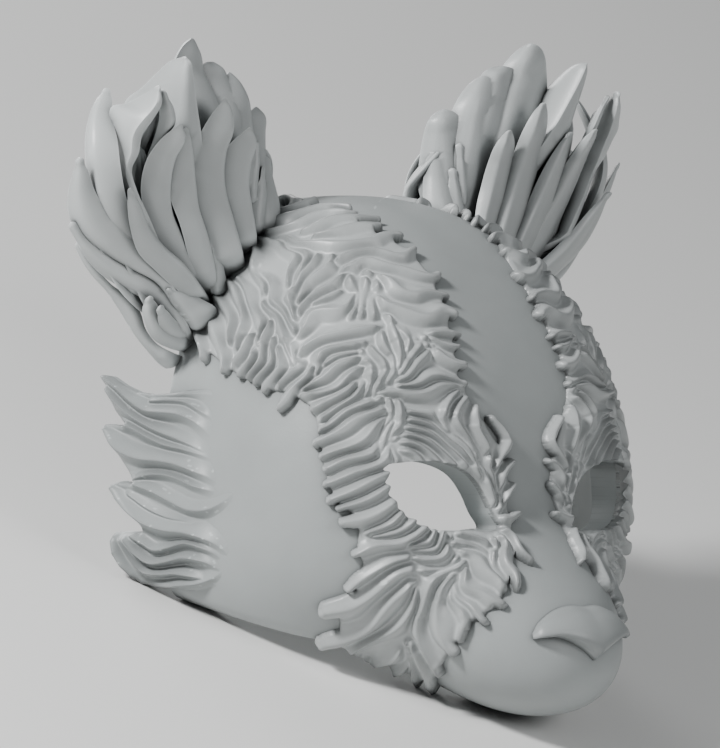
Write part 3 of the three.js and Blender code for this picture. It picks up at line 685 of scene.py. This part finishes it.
def fur_heights(surface):
    """How high the fur stands on each point of a surface, below zero where there is none."""
    points = surface.reshape(-1, 3)
    seen = (outward(points) @ TOWARD_VIEW) > 0
    pixels = to_pixels(points)
    rolls = Rolls(points, FUR_STRANDS)
    across, pitch = rolls.across(FUR_WIDEST_ROLL)
    roll = (1 - across**FUR_CREST_ROUNDNESS) ** FUR_VALLEY_ROUNDNESS
    roll = roll * (1 + FUR_LEAN * rolls.side * across)
    size = np.clip(pitch / FUR_ROLL_HALF_PITCH, *FUR_ROLL_SIZES)
    heights = FUR_SKIN_RISE + FUR_ROLL_RISE * size * roll
    heights = softened(heights.reshape(surface.shape[:-1]), FUR_SOFTENING).reshape(-1)
    from_edge = np.where(seen, from_outline(pixels, FUR_OUTLINE) + FUR_SKIN_MARGIN, -1)
    from_tip = np.where(seen, (1 - rolls.near) * rolls.width, -1)
    inside = np.maximum(from_edge, from_tip)
    heights -= rounded_edge(inside, FUR_EDGE_ROUNDING) * FUR_EDGE_ROUNDING
    return np.where(inside > 0, heights, -FUR_BELOW).reshape(surface.shape[:-1])


def fur_relief(name):
    """The right fur relief as a closed solid, on a grid that turns about the axis across the face."""
    turns, outs = FUR_GRID
    turn = np.radians(np.linspace(*FUR_TURNS, turns))[:, None]
    out = np.radians(np.linspace(*FUR_OUTS, outs))[None, :]
    parts = -np.cos(out), -np.sin(out) * np.cos(turn), np.sin(out) * np.sin(turn)
    surface = meet(CENTRE, np.stack(np.broadcast_arrays(*parts), -1), 0, FAR_AWAY)
    normals = outward(surface)
    heights = fur_heights(surface)
    top = surface + normals * np.maximum(heights, -FUR_SUNK)[..., None]
    bottom = surface - normals * FUR_BELOW
    relief = grid_solid(name, above_table(top), above_table(bottom), raised_cells(heights))
    eye = eye_opening(-1)
    combine(relief, [eye], "DIFFERENCE")
    discard([eye])
    return shade(thin_out(relief), sharp_angle=70)


def raised_cells(heights):
    """Cells of a grid with a raised corner, apart from those at the grid's edge."""
    raised = heights > 0
    cells = raised[:-1, :-1] | raised[1:, :-1] | raised[:-1, 1:] | raised[1:, 1:]
    cells[0, :] = cells[-1, :] = False
    cells[:, 0] = cells[:, -1] = False
    fill_diagonals(cells)
    return cells


def fill_diagonals(cells):
    """Adds cells until none touch at a corner only."""
    while True:
        a, b, c, d = cells[:-1, :-1], cells[1:, :-1], cells[:-1, 1:], cells[1:, 1:]
        falling = a & d & ~b & ~c
        rising = b & c & ~a & ~d
        if not (falling.any() or rising.any()):
            return
        cells[1:, :-1] |= falling
        cells[:-1, :-1] |= rising


def grid_solid(name, top, bottom, cells):
    """Closed solid between two sheets of a grid, over the cells that are set."""
    rows, columns = top.shape[:2]
    index = np.arange(rows * columns).reshape(rows, columns)
    corner = np.stack([index[:-1, :-1], index[1:, :-1], index[1:, 1:], index[:-1, 1:]], -1)
    shift = rows * columns
    faces = [corner[cells], corner[cells][:, ::-1] + shift]
    padded = np.pad(cells, 1)
    neighbours = (
        # cells beyond an edge, and the edge's two corners
        (padded[:-2, 1:-1], 3, 0),
        (padded[1:-1, :-2], 0, 1),
        (padded[2:, 1:-1], 1, 2),
        (padded[1:-1, 2:], 2, 3),
    )
    for beyond, first, second in neighbours:
        edge = corner[cells & ~beyond]
        a, b = edge[:, first], edge[:, second]
        faces.append(np.stack([b, a, a + shift, b + shift], -1))
    faces = np.concatenate(faces)
    used, compact = np.unique(faces, return_inverse=True)
    points = np.concatenate([top.reshape(-1, 3), bottom.reshape(-1, 3)])[used]
    return make_object(name, points, compact.reshape(faces.shape).tolist())


# Crests of the right cheek's swept locks: height as a share of the tallest, how far each falls off
# above and below it in millimetres, then its pixels from root to tip
CHEEK_CRESTS = (
    (0.7, 5, 3,
     ((218, 396), (195, 394), (178, 396), (155, 394), (132, 388), (110, 377))),
    (0.55, 3, 3,
     ((214, 420), (203, 411), (190, 403), (172, 401), (155, 402))),
    (1, 5.5, 3.6,
     ((214, 440), (205, 429), (197, 421), (187, 416), (170, 414), (152, 412), (137, 402), (120, 386),
      (106, 376))),
    (0.75, 4.5, 3.4,
     ((214, 457), (204, 451), (195, 445), (180, 438), (160, 430), (140, 419), (122, 405), (110, 391))),
    (0.7, 3.5, 3.2,
     ((216, 461), (202, 454), (187, 449), (170, 445), (152, 437), (135, 428), (122, 425), (107, 425))),
    (1, 6.5, 3.8,
     ((222, 485), (210, 477), (197, 470), (182, 464), (165, 461), (145, 459), (127, 452), (115, 442),
      (107, 429))),
    (0.6, 3, 2.8,
     ((220, 493), (209, 489), (197, 485), (182, 478), (167, 474), (150, 475), (136, 480))),
    (0.75, 4.5, 3.6,
     ((240, 485), (233, 494), (225, 501), (210, 509), (195, 509), (177, 501), (160, 492), (142, 485),
      (127, 481), (114, 482))),
    (0.35, 3.5, 2.5,
     ((214, 532), (202, 524), (188, 520), (170, 516), (152, 508), (132, 494))),
    (1, 6.5, 3.8,
     ((232, 562), (226, 550), (220, 544), (207, 536), (192, 531), (172, 529), (152, 523), (135, 512),
      (120, 500), (112, 487))),
    (0.7, 3.2, 3,
     ((226, 562), (216, 552), (204, 545), (190, 541), (175, 545), (160, 548), (147, 541), (134, 534))),
    (0.85, 3.4, 3,
     ((226, 574), (215, 564), (202, 557), (188, 555), (175, 558), (155, 560), (142, 552), (130, 538))),
    (0.85, 3.4, 3,
     ((222, 588), (210, 579), (197, 573), (182, 570), (165, 571), (150, 569), (137, 557), (126, 540))),
    (0.85, 4.5, 3,
     ((228, 566), (217, 575), (203, 580), (187, 581), (167, 584), (148, 583), (131, 573), (120, 557),
      (114, 539))),
)
# Outline of the swept locks in pixels, with the part that lies in the shell on its right
CHEEK_OUTLINE = (
    (103, 374), (112, 375), (125, 384), (140, 391), (155, 393), (172, 392), (250, 385), (250, 592),
    (205, 590), (182, 588), (160, 586), (144, 583), (132, 576), (122, 566), (114, 553), (112, 540),
    (113, 532), (124, 531), (141, 531), (139, 524), (128, 512), (118, 500), (111, 488), (113, 482),
    (122, 480), (134, 482), (129, 474), (120, 460), (112, 445), (105, 430), (107, 423), (125, 424),
    (121, 420), (113, 410), (107, 395), (102, 381),
)


def cheek_place(pixels):
    """On the face, and flaring out from it behind the shell's rim."""
    behind = np.clip((CHEEK_RIM_COLUMN - pixels[:, 0]) / (CHEEK_RIM_COLUMN - CHEEK_TIP_COLUMN), 0, 1.2)
    return on_face(pixels) + (CHEEK_FLARE * behind**CHEEK_FLARE_BEND)[:, None] * TOWARD_VIEW


def crest_heights(points):
    """Heights of the swept locks: sharp crests that fall off into round valleys."""
    heights = np.zeros(len(points))
    for height, above, below, pixels in CHEEK_CRESTS:
        line = cheek_place(curve_through(pixels, 40))
        distance, share, _, gap = to_line(points, line)
        fall = np.where(gap[:, 2] > 0, above, below)
        near = np.clip(1 - distance / fall, 0, 1)
        crest = height * near**CHEEK_CREST_SHARPNESS * smooth(share / CHEEK_CREST_GROWTH)
        heights = np.maximum(heights, crest)
    return heights * CHEEK_CREST_RISE


def cheek_locks(name):
    """The right cheek's swept locks as one closed sheet that fades into the shell."""
    columns, rows = CHEEK_GRID
    u, v = np.meshgrid(np.linspace(*CHEEK_COLUMNS, columns), np.linspace(*CHEEK_ROWS, rows))
    pixels = np.stack([u, v], -1).reshape(-1, 2)
    points = cheek_place(pixels)
    normals = unit(outward(points) + CHEEK_TILT * TOWARD_VIEW)
    crests = crest_heights(points).reshape(rows, columns)
    grown = smooth((CHEEK_ROOT_COLUMN - pixels[:, 0]) / CHEEK_ROOT_FADE)
    free = smooth((CHEEK_RIM_COLUMN + CHEEK_RIM_FADE / 2 - pixels[:, 0]) / CHEEK_RIM_FADE)
    heights = softened(crests, 2).reshape(-1) + CHEEK_VALLEY_RISE * grown
    full = 1 - rounded_edge(from_outline(pixels, CHEEK_OUTLINE), CHEEK_EDGE_ROUNDING)
    heights = heights * full - CHEEK_ROOT_SUNK * (1 - grown) - free * CHEEK_DEPTH / 2 * (1 - full)
    depth = (CHEEK_ROOT_DEPTH + (CHEEK_DEPTH / 2 - CHEEK_ROOT_DEPTH) * free) + free * CHEEK_DEPTH / 2 * full
    inside = inside_outline(pixels, CHEEK_OUTLINE).reshape(rows, columns)
    top = (points + normals * heights[:, None]).reshape(rows, columns, 3)
    bottom = (points - normals * depth[:, None]).reshape(rows, columns, 3)
    cells = raised_cells(np.where(inside, 1, -1))
    top, bottom = above_table(top), above_table(bottom)
    sheet = grid_solid(name, top.transpose(1, 0, 2), bottom.transpose(1, 0, 2), cells.T)
    return shade(thin_out(sheet), sharp_angle=60)


def face_shell():
    shell = form_solid("face_shell", 0, SHELL_STEPS)
    hollow = form_solid("hollow", -WALL, HOLLOW_STEPS)
    cutters = [open_back(), open_underside(), hollow, eye_opening(-1), eye_opening(1)]
    combine(shell, cutters, "DIFFERENCE")
    discard(cutters)
    return shade(thin_out(shell), sharp_angle=38)


# Base of the right ear, from its root centre: out from the midline, up and forward, as shares of
# the ear's height. These broad locks close the cup behind the ones that are seen
EAR_BASE_LOCKS = (
    # root, belly and tip (each out, up, forward), half width
    ((-0.19, 0.17, -0.05), (-0.15, 0.42, -0.09), (-0.11, 0.6, 0.035), 0.13),
    ((-0.13, 0.12, -0.08), (-0.03, 0.45, -0.15), (0.085, 0.72, 0.0), 0.17),
    ((-0.04, 0.04, -0.1), (0.14, 0.45, -0.18), (0.22, 0.78, 0.0), 0.19),
    ((0.04, -0.02, -0.1), (0.32, 0.42, -0.17), (0.34, 0.82, 0.02), 0.2),
    ((0.08, -0.08, -0.09), (0.46, 0.4, -0.15), (0.5, 0.78, 0.1), 0.2),
    ((0.14, -0.15, -0.06), (0.6, 0.3, -0.08), (0.62, 0.62, 0), 0.17),
    ((0.12, -0.17, -0.04), (0.54, 0.25, -0.02), (0.58, 0.55, 0.04), 0.13),
    ((0.16, -0.22, -0.05), (0.48, 0.16, -0.03), (0.55, 0.5, 0), 0.12),
    ((0.14, -0.2, -0.04), (0.43, 0.1, -0.01), (0.57, 0.6, 0.04), 0.09),
)

# Locks of the right ear that are seen. Depths: how far the lock stands toward the view at its root,
# belly and tip, in millimetres. Turn: slope of its face across it, positive where it faces inward.
# Crest: where its ridge stands, from 0 at its left edge to 1 at its right. Then the pixels of its tip
# and of its left and right edges, each from the root up to the tip that they share
EAR_LOCKS = (
    # depths, turn, crest, tip, left edge, right edge
    ((82, 103, 92), -0.2, 0.3, (110, 91),
     ((158, 268), (128, 246), (104, 215), (92, 180), (89, 150), (92, 122), (100, 102)),
     ((170, 262), (146, 238), (130, 205), (122, 165), (119, 140), (114, 118), (114, 100))),
    ((68, 105, 111), -0.1, 0.45, (83, 160),
     ((183, 332), (172, 305), (155, 281), (130, 269), (105, 255), (84, 237), (73, 216), (72, 198), (76, 178)),
     ((195, 332), (186, 306), (171, 282), (151, 257), (126, 231), (108, 211), (97, 192), (92, 176),
      (88, 167))),
    ((62, 92, 100), -0.15, 0.5, (74, 224),
     ((188, 353), (176, 331), (160, 311), (145, 299), (122, 287), (104, 275), (90, 260), (80, 243)),
     ((198, 350), (189, 325), (173, 298), (156, 282), (133, 269), (112, 258), (93, 244), (82, 232))),
    ((57, 81, 90), -0.15, 0.55, (80, 243),
     ((178, 373), (165, 367), (150, 352), (135, 333), (120, 308), (108, 291), (95, 275), (86, 259)),
     ((197, 361), (174, 353), (157, 343), (147, 329), (142, 313), (131, 298), (113, 285), (97, 269))),
    ((61, 78, 84), -0.2, 0.4, (151, 297),
     ((190, 353), (171, 348), (155, 339), (147, 323), (145, 308)),
     ((194, 336), (181, 331), (169, 323), (162, 313), (158, 304))),
    ((62, 79, 84), -0.2, 0.5, (161, 307),
     ((188, 342), (173, 339), (164, 331), (160, 320)),
     ((193, 328), (182, 325), (174, 318), (168, 311))),
    ((84, 105, 110), -0.5, 0.9, (162, 89),
     ((150, 262), (132, 222), (122, 187), (118, 150), (113, 122), (115, 111), (130, 107), (147, 98)),
     ((166, 255), (150, 217), (139, 192), (134, 172), (141, 155), (144, 138), (155, 122), (164, 106))),
    ((84, 100, 106), -0.3, 0.75, (164, 93),
     ((148, 200), (148, 175), (150, 158), (157, 140), (162, 122), (163, 105)),
     ((158, 200), (155, 170), (161, 150), (169, 138), (177, 127), (176, 112))),
    ((50, 78, 97), -0.4, 0.85, (187, 60),
     ((160, 230), (150, 170), (138, 135), (128, 112), (129, 105), (145, 91), (160, 76), (174, 64)),
     ((205, 230), (203, 165), (201, 137), (198, 115), (196, 95), (194, 75), (192, 65))),
    ((52, 64, 75), 1.5, 0.7, (194, 41),
     ((178, 230), (172, 150), (170, 105), (174, 75), (180, 58), (186, 48)),
     ((224, 230), (222, 150), (215, 112), (206, 90), (200, 76), (198, 56))),
    ((47, 54, 63), 1.3, 0.75, (214, 64),
     ((190, 230), (188, 145), (190, 103), (197, 78), (205, 67)),
     ((234, 230), (236, 150), (238, 120), (231, 97), (225, 80), (221, 68))),
    ((44, 48, 56), 1.6, 0.7, (230, 74),
     ((215, 230), (214, 155), (219, 117), (224, 91), (227, 79)),
     ((254, 230), (250, 155), (246, 120), (244, 100), (238, 86))),
    ((42, 40, 40), 1.8, 0.7, (257, 108),
     ((235, 235), (236, 175), (241, 143), (247, 122), (252, 112)),
     ((268, 235), (263, 185), (259, 152), (260, 132), (262, 118))),
    ((42, 38, 36), 1.6, 0.7, (265, 151),
     ((252, 242), (252, 207), (256, 182), (260, 165), (261, 156)),
     ((278, 235), (277, 212), (272, 192), (268, 175), (267, 160))),
    ((46, 45, 43), 0.9, 0.5, (263, 167),
     ((250, 240), (250, 210), (256, 192), (261, 179)),
     ((264, 236), (267, 212), (267, 192), (265, 179))),
    ((47, 47, 46), 0.9, 0.5, (258, 142),
     ((247, 215), (248, 185), (253, 166), (256, 151)),
     ((258, 205), (259, 180), (260, 160), (259, 150))),
    ((53, 61, 66), 1, 0.8, (251, 129),
     ((244, 264), (233, 227), (224, 196), (222, 170), (227, 152), (240, 138)),
     ((256, 252), (255, 232), (250, 208), (247, 185), (250, 162), (256, 140))),
    ((58, 74, 80), 1, 0.82, (226, 101),
     ((232, 282), (218, 263), (205, 230), (195, 200), (193, 170), (199, 145), (213, 118)),
     ((248, 274), (241, 250), (232, 222), (224, 195), (222, 172), (225, 150), (233, 128), (231, 110))),
    ((61, 82, 91), 1, 0.8, (188, 130),
     ((206, 303), (192, 262), (182, 225), (173, 200), (170, 180), (173, 158), (183, 138)),
     ((219, 300), (214, 265), (206, 235), (198, 210), (195, 180), (193, 150), (191, 138))),
    ((58, 63, 66), 0.7, 0.35, (213, 247),
     ((213, 300), (211, 277), (210, 260)),
     ((228, 297), (226, 277), (221, 259))),
    ((64, 91, 101), 0.9, 0.8, (183, 127),
     ((200, 304), (180, 276), (161, 249), (149, 219), (144, 190), (151, 160), (165, 141)),
     ((207, 294), (193, 262), (181, 235), (172, 212), (171, 185), (177, 158), (187, 137))),
    ((66, 97, 107), 0.7, 0.75, (133, 190),
     ((206, 309), (180, 291), (159, 272), (141, 253), (134, 232), (131, 212), (131, 198)),
     ((213, 303), (200, 284), (185, 265), (165, 247), (151, 228), (144, 210), (138, 198))),
    ((62, 72, 80), 0.3, 0.35, (169, 289),
     ((190, 331), (181, 315), (174, 302)),
     ((214, 324), (217, 311), (202, 300), (186, 292))),
)


def ear_place(out, up, forward):
    """A place in the right ear, from shares of the ear's height."""
    return (
        -EAR_FROM_MIDLINE - out * EAR_HEIGHT,
        -forward * EAR_HEIGHT,
        EAR_ROOT_HEIGHT + up * EAR_HEIGHT,
    )


def ear_base_lock(row):
    """A broad lock of the ear's base: lens-shaped across, with ridges along it."""
    *places, half_width = row
    count = 24
    points = curve_through([ear_place(*place) for place in places], count)
    facing = unit(np.array([(places[1][0] - EAR_MIDDLE_OUT) * EAR_BASE_TURN, -1, 0]))
    swell = leaf(np.linspace(0, 1, count), root=0.45, widest=0.45, fullness=2.4)
    half_widths = half_width * EAR_HEIGHT * swell
    half_thicknesses = EAR_BASE_THICKNESS * swell**0.6
    along = unit(np.gradient(points, axis=0))
    across = unit(np.cross(along, np.tile(facing, (count, 1))))
    facing = np.cross(across, along)
    turn = 2 * math.pi * np.arange(EAR_BASE_SIDES) / EAR_BASE_SIDES
    out = np.cos(turn)
    thick = np.sign(np.sin(turn)) * np.abs(np.sin(turn)) ** 1.25
    thick = thick * (1 + EAR_BASE_RIDGE_DEPTH * np.cos(2 * math.pi * EAR_BASE_RIDGES * out))
    rings = (
        points[:, None]
        + across[:, None] * (half_widths[:, None] * out)[..., None]
        + facing[:, None] * (half_thicknesses[:, None] * thick)[..., None]
    )
    return ringed_solid("ear_base", rings[1:-1], points[0], points[-1])


def crested_section(crest, half_count):
    """Share across and height of a lock's front, from its left edge to its right, then its back."""
    across = 0.5 - 0.5 * np.cos(math.pi * np.arange(half_count + 1) / half_count)
    rising = np.sin(np.clip(across / crest, 0, 1) * math.pi / 2) ** 1.15
    falling = np.sin(np.clip((1 - across) / (1 - crest), 0, 1) * math.pi / 2) ** 0.9
    front = np.where(across < crest, rising, falling) * EAR_LOCK_FRONT
    back = -np.sin(across * math.pi) ** 0.8 * EAR_LOCK_BACK
    share = np.concatenate([across, across[-2:0:-1]]) * 2 - 1
    return share, np.concatenate([front, back[-2:0:-1]])


def at_shares(points, share):
    """Points at given shares of the length of a smooth curve through a few given ones."""
    fine = curve_through(points, 400)
    where = np.linspace(0, 1, len(fine))
    return np.stack([np.interp(share, where, column) for column in fine.T], axis=-1)


def blunted(centre, half):
    """Half widths that end in a round tip instead of a sharp one."""
    from_tip = np.linalg.norm(centre - centre[-1], axis=1)
    inward = np.clip(from_tip / EAR_TIP_RADIUS, 0, 1)
    least = EAR_TIP_RADIUS * np.sqrt(inward * (2 - inward))
    width = np.linalg.norm(half, axis=1)
    direction = half / np.maximum(width, 1e-6)[:, None]
    direction[-1] = direction[-2]
    return direction * np.maximum(width, least)[:, None]


def ear_lock(row, count=48, half_count=14):
    """A lock between two edges that are seen in the photograph, with a crest along it."""
    depths, turn, crest, tip, left, right = row
    share = 1 - (1 - np.linspace(0, 1, count)) ** EAR_RING_CROWDING
    left, right = at_shares((*left, tip), share), at_shares((*right, tip), share)
    middle, reach = (left + right) / 2, (right - left) / 2 * EAR_LOCK_WIDENING
    depth = at_shares(np.column_stack([(0, 0.5, 1), depths]), share)[:, 1]
    depth = depth - EAR_ROOT_DIP * (1 - smooth(share / EAR_ROOT_SHARE))
    centre = from_pixels(middle, 0) + depth[:, None] * TOWARD_VIEW
    half = from_pixels(middle + reach, 0) - from_pixels(middle, 0)
    sideways = half @ VIEW_RIGHT
    growing = 0.45 + 0.55 * smooth(share / 0.45)
    full = sideways.max() * growing * np.sqrt(1 - share**4)
    turned = (1 - EAR_LOCK_FULLNESS) * sideways + EAR_LOCK_FULLNESS * full
    half = half - turn * turned[:, None] * TOWARD_VIEW
    half = blunted(centre, half)
    along = unit(np.gradient(centre, axis=0))
    normal = unit(np.cross(half, along))
    normal = normal * np.sign(normal @ TOWARD_VIEW)[:, None]
    width = np.linalg.norm(half, axis=1)
    across, height = crested_section(crest, half_count)
    rings = (
        centre[:, None] + half[:, None] * across[:, None]
        + normal[:, None] * (width[:, None] * height)[..., None]
    )
    return ringed_solid("ear_lock", rings[:-1], rings[0].mean(axis=0), centre[-1])


def ringed_solid(name, rings, root, tip):
    """Closed solid through rings of points, from a root to a tip."""
    count, sides = rings.shape[:2]
    points = np.concatenate([rings.reshape(-1, 3), [root, tip]])
    start, end = count * sides, count * sides + 1
    faces = []
    for side in range(sides):
        following = (side + 1) % sides
        faces.append((start, following, side))
        faces.append((end, (count - 1) * sides + side, (count - 1) * sides + following))
        for ring in range(count - 1):
            low, high = ring * sides, (ring + 1) * sides
            faces.append((low + side, low + following, high + following, high + side))
    made = make_object(name, points, faces)
    return outward_faced(made)


def outward_faced(made):
    """Turns a closed mesh's faces outward."""
    mesh = made.data
    mesh.calc_loop_triangles()
    corners = np.array([vertex.co for vertex in mesh.vertices])
    volume = 0.0
    for triangle in mesh.loop_triangles:
        a, b, c = corners[list(triangle.vertices)]
        volume += np.dot(a, np.cross(b, c))
    if volume < 0:
        mesh.flip_normals()
    return made


def ear(name):
    head = form_solid("head", 0, HEAD_STEPS)
    first, *rest = [ear_lock(row) for row in EAR_LOCKS]
    rest += [ear_base_lock(row) for row in EAR_BASE_LOCKS]
    first.name = name
    combine(first, rest, "UNION")
    combine(first, [head], "DIFFERENCE")
    discard([*rest, head])
    return shade(thin_out(first), sharp_angle=50)


# Nose pad, as upright profiles from its middle to its corner
NOSE_SECTIONS = np.array([
    # share of the half width, top edge up, ridge up, lower edge up, stand-out of the ridge
    (0, 1, 0.5, 0, 1),
    (0.3, 1.02, 0.54, 0.26, 1),
    (0.6, 0.93, 0.55, 0.42, 0.9),
    (0.85, 0.74, 0.52, 0.42, 0.7),
    (1, 0.5, 0.45, 0.4, 0.3),
])


def nose_pad(name):
    """Rounded wedge on the muzzle's end, as one ring of points for each profile across it."""
    half = curve_through(NOSE_SECTIONS, 30)
    sections = np.concatenate([half[:0:-1] * np.array([-1, 1, 1, 1, 1]), half])
    rows = []
    for share, top, ridge, low, stand in sections:
        profile = curve_through([
            # up, stand-out
            (top, 0.12),
            (top * 0.55 + ridge * 0.45, 0.72),
            (ridge, 1.05),
            ((ridge * 2 + low) / 3, 1.1),
            (low, 0.2),
        ], 24)
        heights = np.concatenate([profile[:, 0], [low, top]])
        lifts = np.concatenate([profile[:, 1] * stand * NOSE_FULLNESS * NOSE_STAND_OUT, [-NOSE_SUNK] * 2])
        starts = np.stack([
            np.full_like(heights, share * NOSE_HALF_WIDTH),
            np.full_like(heights, -MUZZLE_FORWARD),
            NOSE_BOTTOM_HEIGHT + heights * NOSE_HEIGHT,
        ], -1)
        faces = meet(starts, np.array([0, -1, 0]), 0, FAR_AWAY)
        rows.append(faces + lifts[:, None] * outward(faces))
    rows = np.array(rows)
    count, sides = rows.shape[:2]
    faces = [tuple(range(sides)), tuple(reversed(range((count - 1) * sides, count * sides)))]
    for row in range(count - 1):
        for side in range(sides):
            following = (side + 1) % sides
            near, far = row * sides, (row + 1) * sides
            faces.append((near + following, near + side, far + side, far + following))
    return shade(make_object(name, rows.reshape(-1, 3), faces), sharp_angle=50)


def add_node(nodes, kind, values):
    """A node with its sockets' values set."""
    made = nodes.new(kind)
    for socket, value in values.items():
        made.inputs[socket].default_value = value
    return made


def resin(name, colour, roughness):
    """Satin grey resin: faint mottling, painted shade in cavities, a painted highlight on ridges and painted
    shade in hollows, with a very fine grain.
    """
    material = bpy.data.materials.new(name)
    material.use_nodes = True
    nodes, links = material.node_tree.nodes, material.node_tree.links
    surface = nodes["Principled BSDF"]
    place = nodes.new("ShaderNodeTexCoord").outputs["Object"]

    mottle = add_node(nodes, "ShaderNodeTexNoise", {"Scale": 28, "Detail": 4})
    links.new(place, mottle.inputs["Vector"])
    tone = nodes.new("ShaderNodeValToRGB")
    for element, position, share in zip(tone.color_ramp.elements, (0.3, 0.7), (0.93, 1.05)):
        element.position = position
        element.color = (*[channel * share for channel in colour], 1)
    links.new(mottle.outputs["Fac"], tone.inputs["Fac"])

    # Painted shade: the tone is darkened where ambient occlusion finds a cavity
    painted_shade_ao = add_node(nodes, "ShaderNodeAmbientOcclusion", {"Distance": 0.006})
    painted_shade_ao.samples = 8
    # Painted highlight and shade: pointiness lightens the tone on ridges and darkens it in hollows
    raised = nodes.new("ShaderNodeNewGeometry").outputs["Pointiness"]
    painted_light_marks = (
        # painted shade from how open a place is, and a painted highlight on ridges with painted shade in
        # hollows from how raised it is, each with its range and what the tone is multiplied by
        (painted_shade_ao.outputs["AO"], {"From Min": 0.2, "From Max": 0.95, "To Min": 0.3, "To Max": 1}),
        (raised, {"From Min": 0.44, "From Max": 0.56, "To Min": 0.62, "To Max": 1.38}),
    )
    shaded = tone.outputs["Color"]
    for measure, values in painted_light_marks:
        factor = add_node(nodes, "ShaderNodeMapRange", values)
        links.new(measure, factor.inputs["Value"])
        multiply = nodes.new("ShaderNodeMix")
        multiply.data_type = "RGBA"
        multiply.blend_type = "MULTIPLY"
        multiply.inputs["Factor"].default_value = 1
        links.new(shaded, multiply.inputs[6])
        links.new(factor.outputs["Result"], multiply.inputs[7])
        shaded = multiply.outputs[2]
    links.new(shaded, surface.inputs["Base Color"])

    grain = add_node(nodes, "ShaderNodeTexNoise", {"Scale": 900, "Detail": 3})
    links.new(place, grain.inputs["Vector"])
    bump = add_node(nodes, "ShaderNodeBump", {"Strength": 0.25, "Distance": 0.0002})
    links.new(grain.outputs["Fac"], bump.inputs["Height"])
    links.new(bump.outputs["Normal"], surface.inputs["Normal"])

    range_of_roughness = {"To Min": roughness - 0.05, "To Max": roughness + 0.07}
    sheen = add_node(nodes, "ShaderNodeMapRange", range_of_roughness)
    links.new(mottle.outputs["Fac"], sheen.inputs["Value"])
    links.new(sheen.outputs["Result"], surface.inputs["Roughness"])
    surface.inputs["Specular IOR Level"].default_value = 0.45
    return material


def finish_piece(made, material, node):
    """Gives a piece its material, hangs it on the root and hides the CAD node in its place."""
    made.data.materials.clear()
    made.data.materials.append(material)
    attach(made, "root")
    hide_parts(node)


def floor():
    half = 30
    mesh = bpy.data.meshes.new("floor")
    corners = [(-half, -half, 0), (half, -half, 0), (half, half, 0), (-half, half, 0)]
    mesh.from_pydata(corners, [], [(0, 1, 2, 3)])
    made = add_object("floor", mesh)
    material = bpy.data.materials.new("pale_floor")
    material.use_nodes = True
    surface = material.node_tree.nodes["Principled BSDF"]
    surface.inputs["Base Color"].default_value = (0.78, 0.78, 0.77, 1)
    surface.inputs["Roughness"].default_value = 0.8
    mesh.materials.append(material)


def camera():
    """Long lens along the photograph's view, turned so that the mask stands upright in it."""
    image = (720, 748)
    lens, sensor = 1000, 36
    middle = from_pixels(np.array([image[0] / 2, image[1] / 2]), 0)
    target = Vector(to_row([middle])[0])
    toward = Vector(leaned(TOWARD_VIEW))
    up = Vector(leaned(UP))
    right = up.cross(toward)
    data = bpy.data.cameras.new("camera")
    data.lens = lens
    data.sensor_width = sensor
    made = add_object("camera", data)
    distance = lens * image[1] * MM_PER_PIXEL * 0.001 / sensor
    turn = Matrix((right, up, toward)).transposed().to_4x4()
    made.matrix_world = Matrix.Translation(target + toward * distance) @ turn
    data.clip_end = 200
    bpy.context.scene.camera = made
    return right, up, toward, target


def area_light(name, place, target, size, power):
    data = bpy.data.lights.new(name, "AREA")
    data.shape = "DISK"
    data.size = size
    data.energy = power
    made = add_object(name, data)
    made.location = place
    made.rotation_euler = (target - place).to_track_quat("-Z", "Y").to_euler()


def lights(right, up, toward, target):
    """Soft light from the upper left, a weak fill from the right and a rim light from behind."""
    world = bpy.data.worlds.new("studio")
    world.use_nodes = True
    backdrop = world.node_tree.nodes["Background"]
    backdrop.inputs["Color"].default_value = (0.86, 0.9, 0.92, 1)
    backdrop.inputs["Strength"].default_value = 0.17
    bpy.context.scene.world = world
    area_light("key", target - right * 0.8 + up * 0.9 + toward * 0.95, target, 0.3, 34)
    area_light("fill", target + right * 1.2 + up * 0.3 + toward * 1.0, target, 0.8, 8)
    area_light("rim", target - right * 0.6 + up * 0.9 - toward * 1.1, target, 0.7, 9)


def finish_pair(right, left_name, material, right_node, left_node):
    """Finishes a right piece and its mirrored copy."""
    finish_piece(mirrored(right, left_name), material, left_node)
    finish_piece(right, material, right_node)


def main():
    shell_resin = resin("resin", (0.31, 0.33, 0.33), 0.44)
    # The fur's resin is painted lighter than the shell's, as a painted highlight on the fur's crests
    lit_fur_resin = resin("lit_fur_resin", (0.42, 0.44, 0.44), 0.36)
    nose_resin = resin("nose_resin", (0.33, 0.35, 0.35), 0.4)

    finish_piece(face_shell(), shell_resin, "mask_shell")
    locks = cheek_locks("cheek_locks_right")
    finish_pair(locks, "cheek_locks_left", shell_resin, "mask_shell", "mask_shell")
    relief = fur_relief("fur_relief_right")
    finish_pair(relief, "fur_relief_left", lit_fur_resin, "fur_patch_right", "fur_patch_left")
    right_ear = ear("ear_locks_right")
    finish_pair(right_ear, "ear_locks_left", lit_fur_resin, "ear_right", "ear_left")
    finish_piece(nose_pad("nose_pad"), nose_resin, "nose")

    floor()
    lights(*camera())


main()
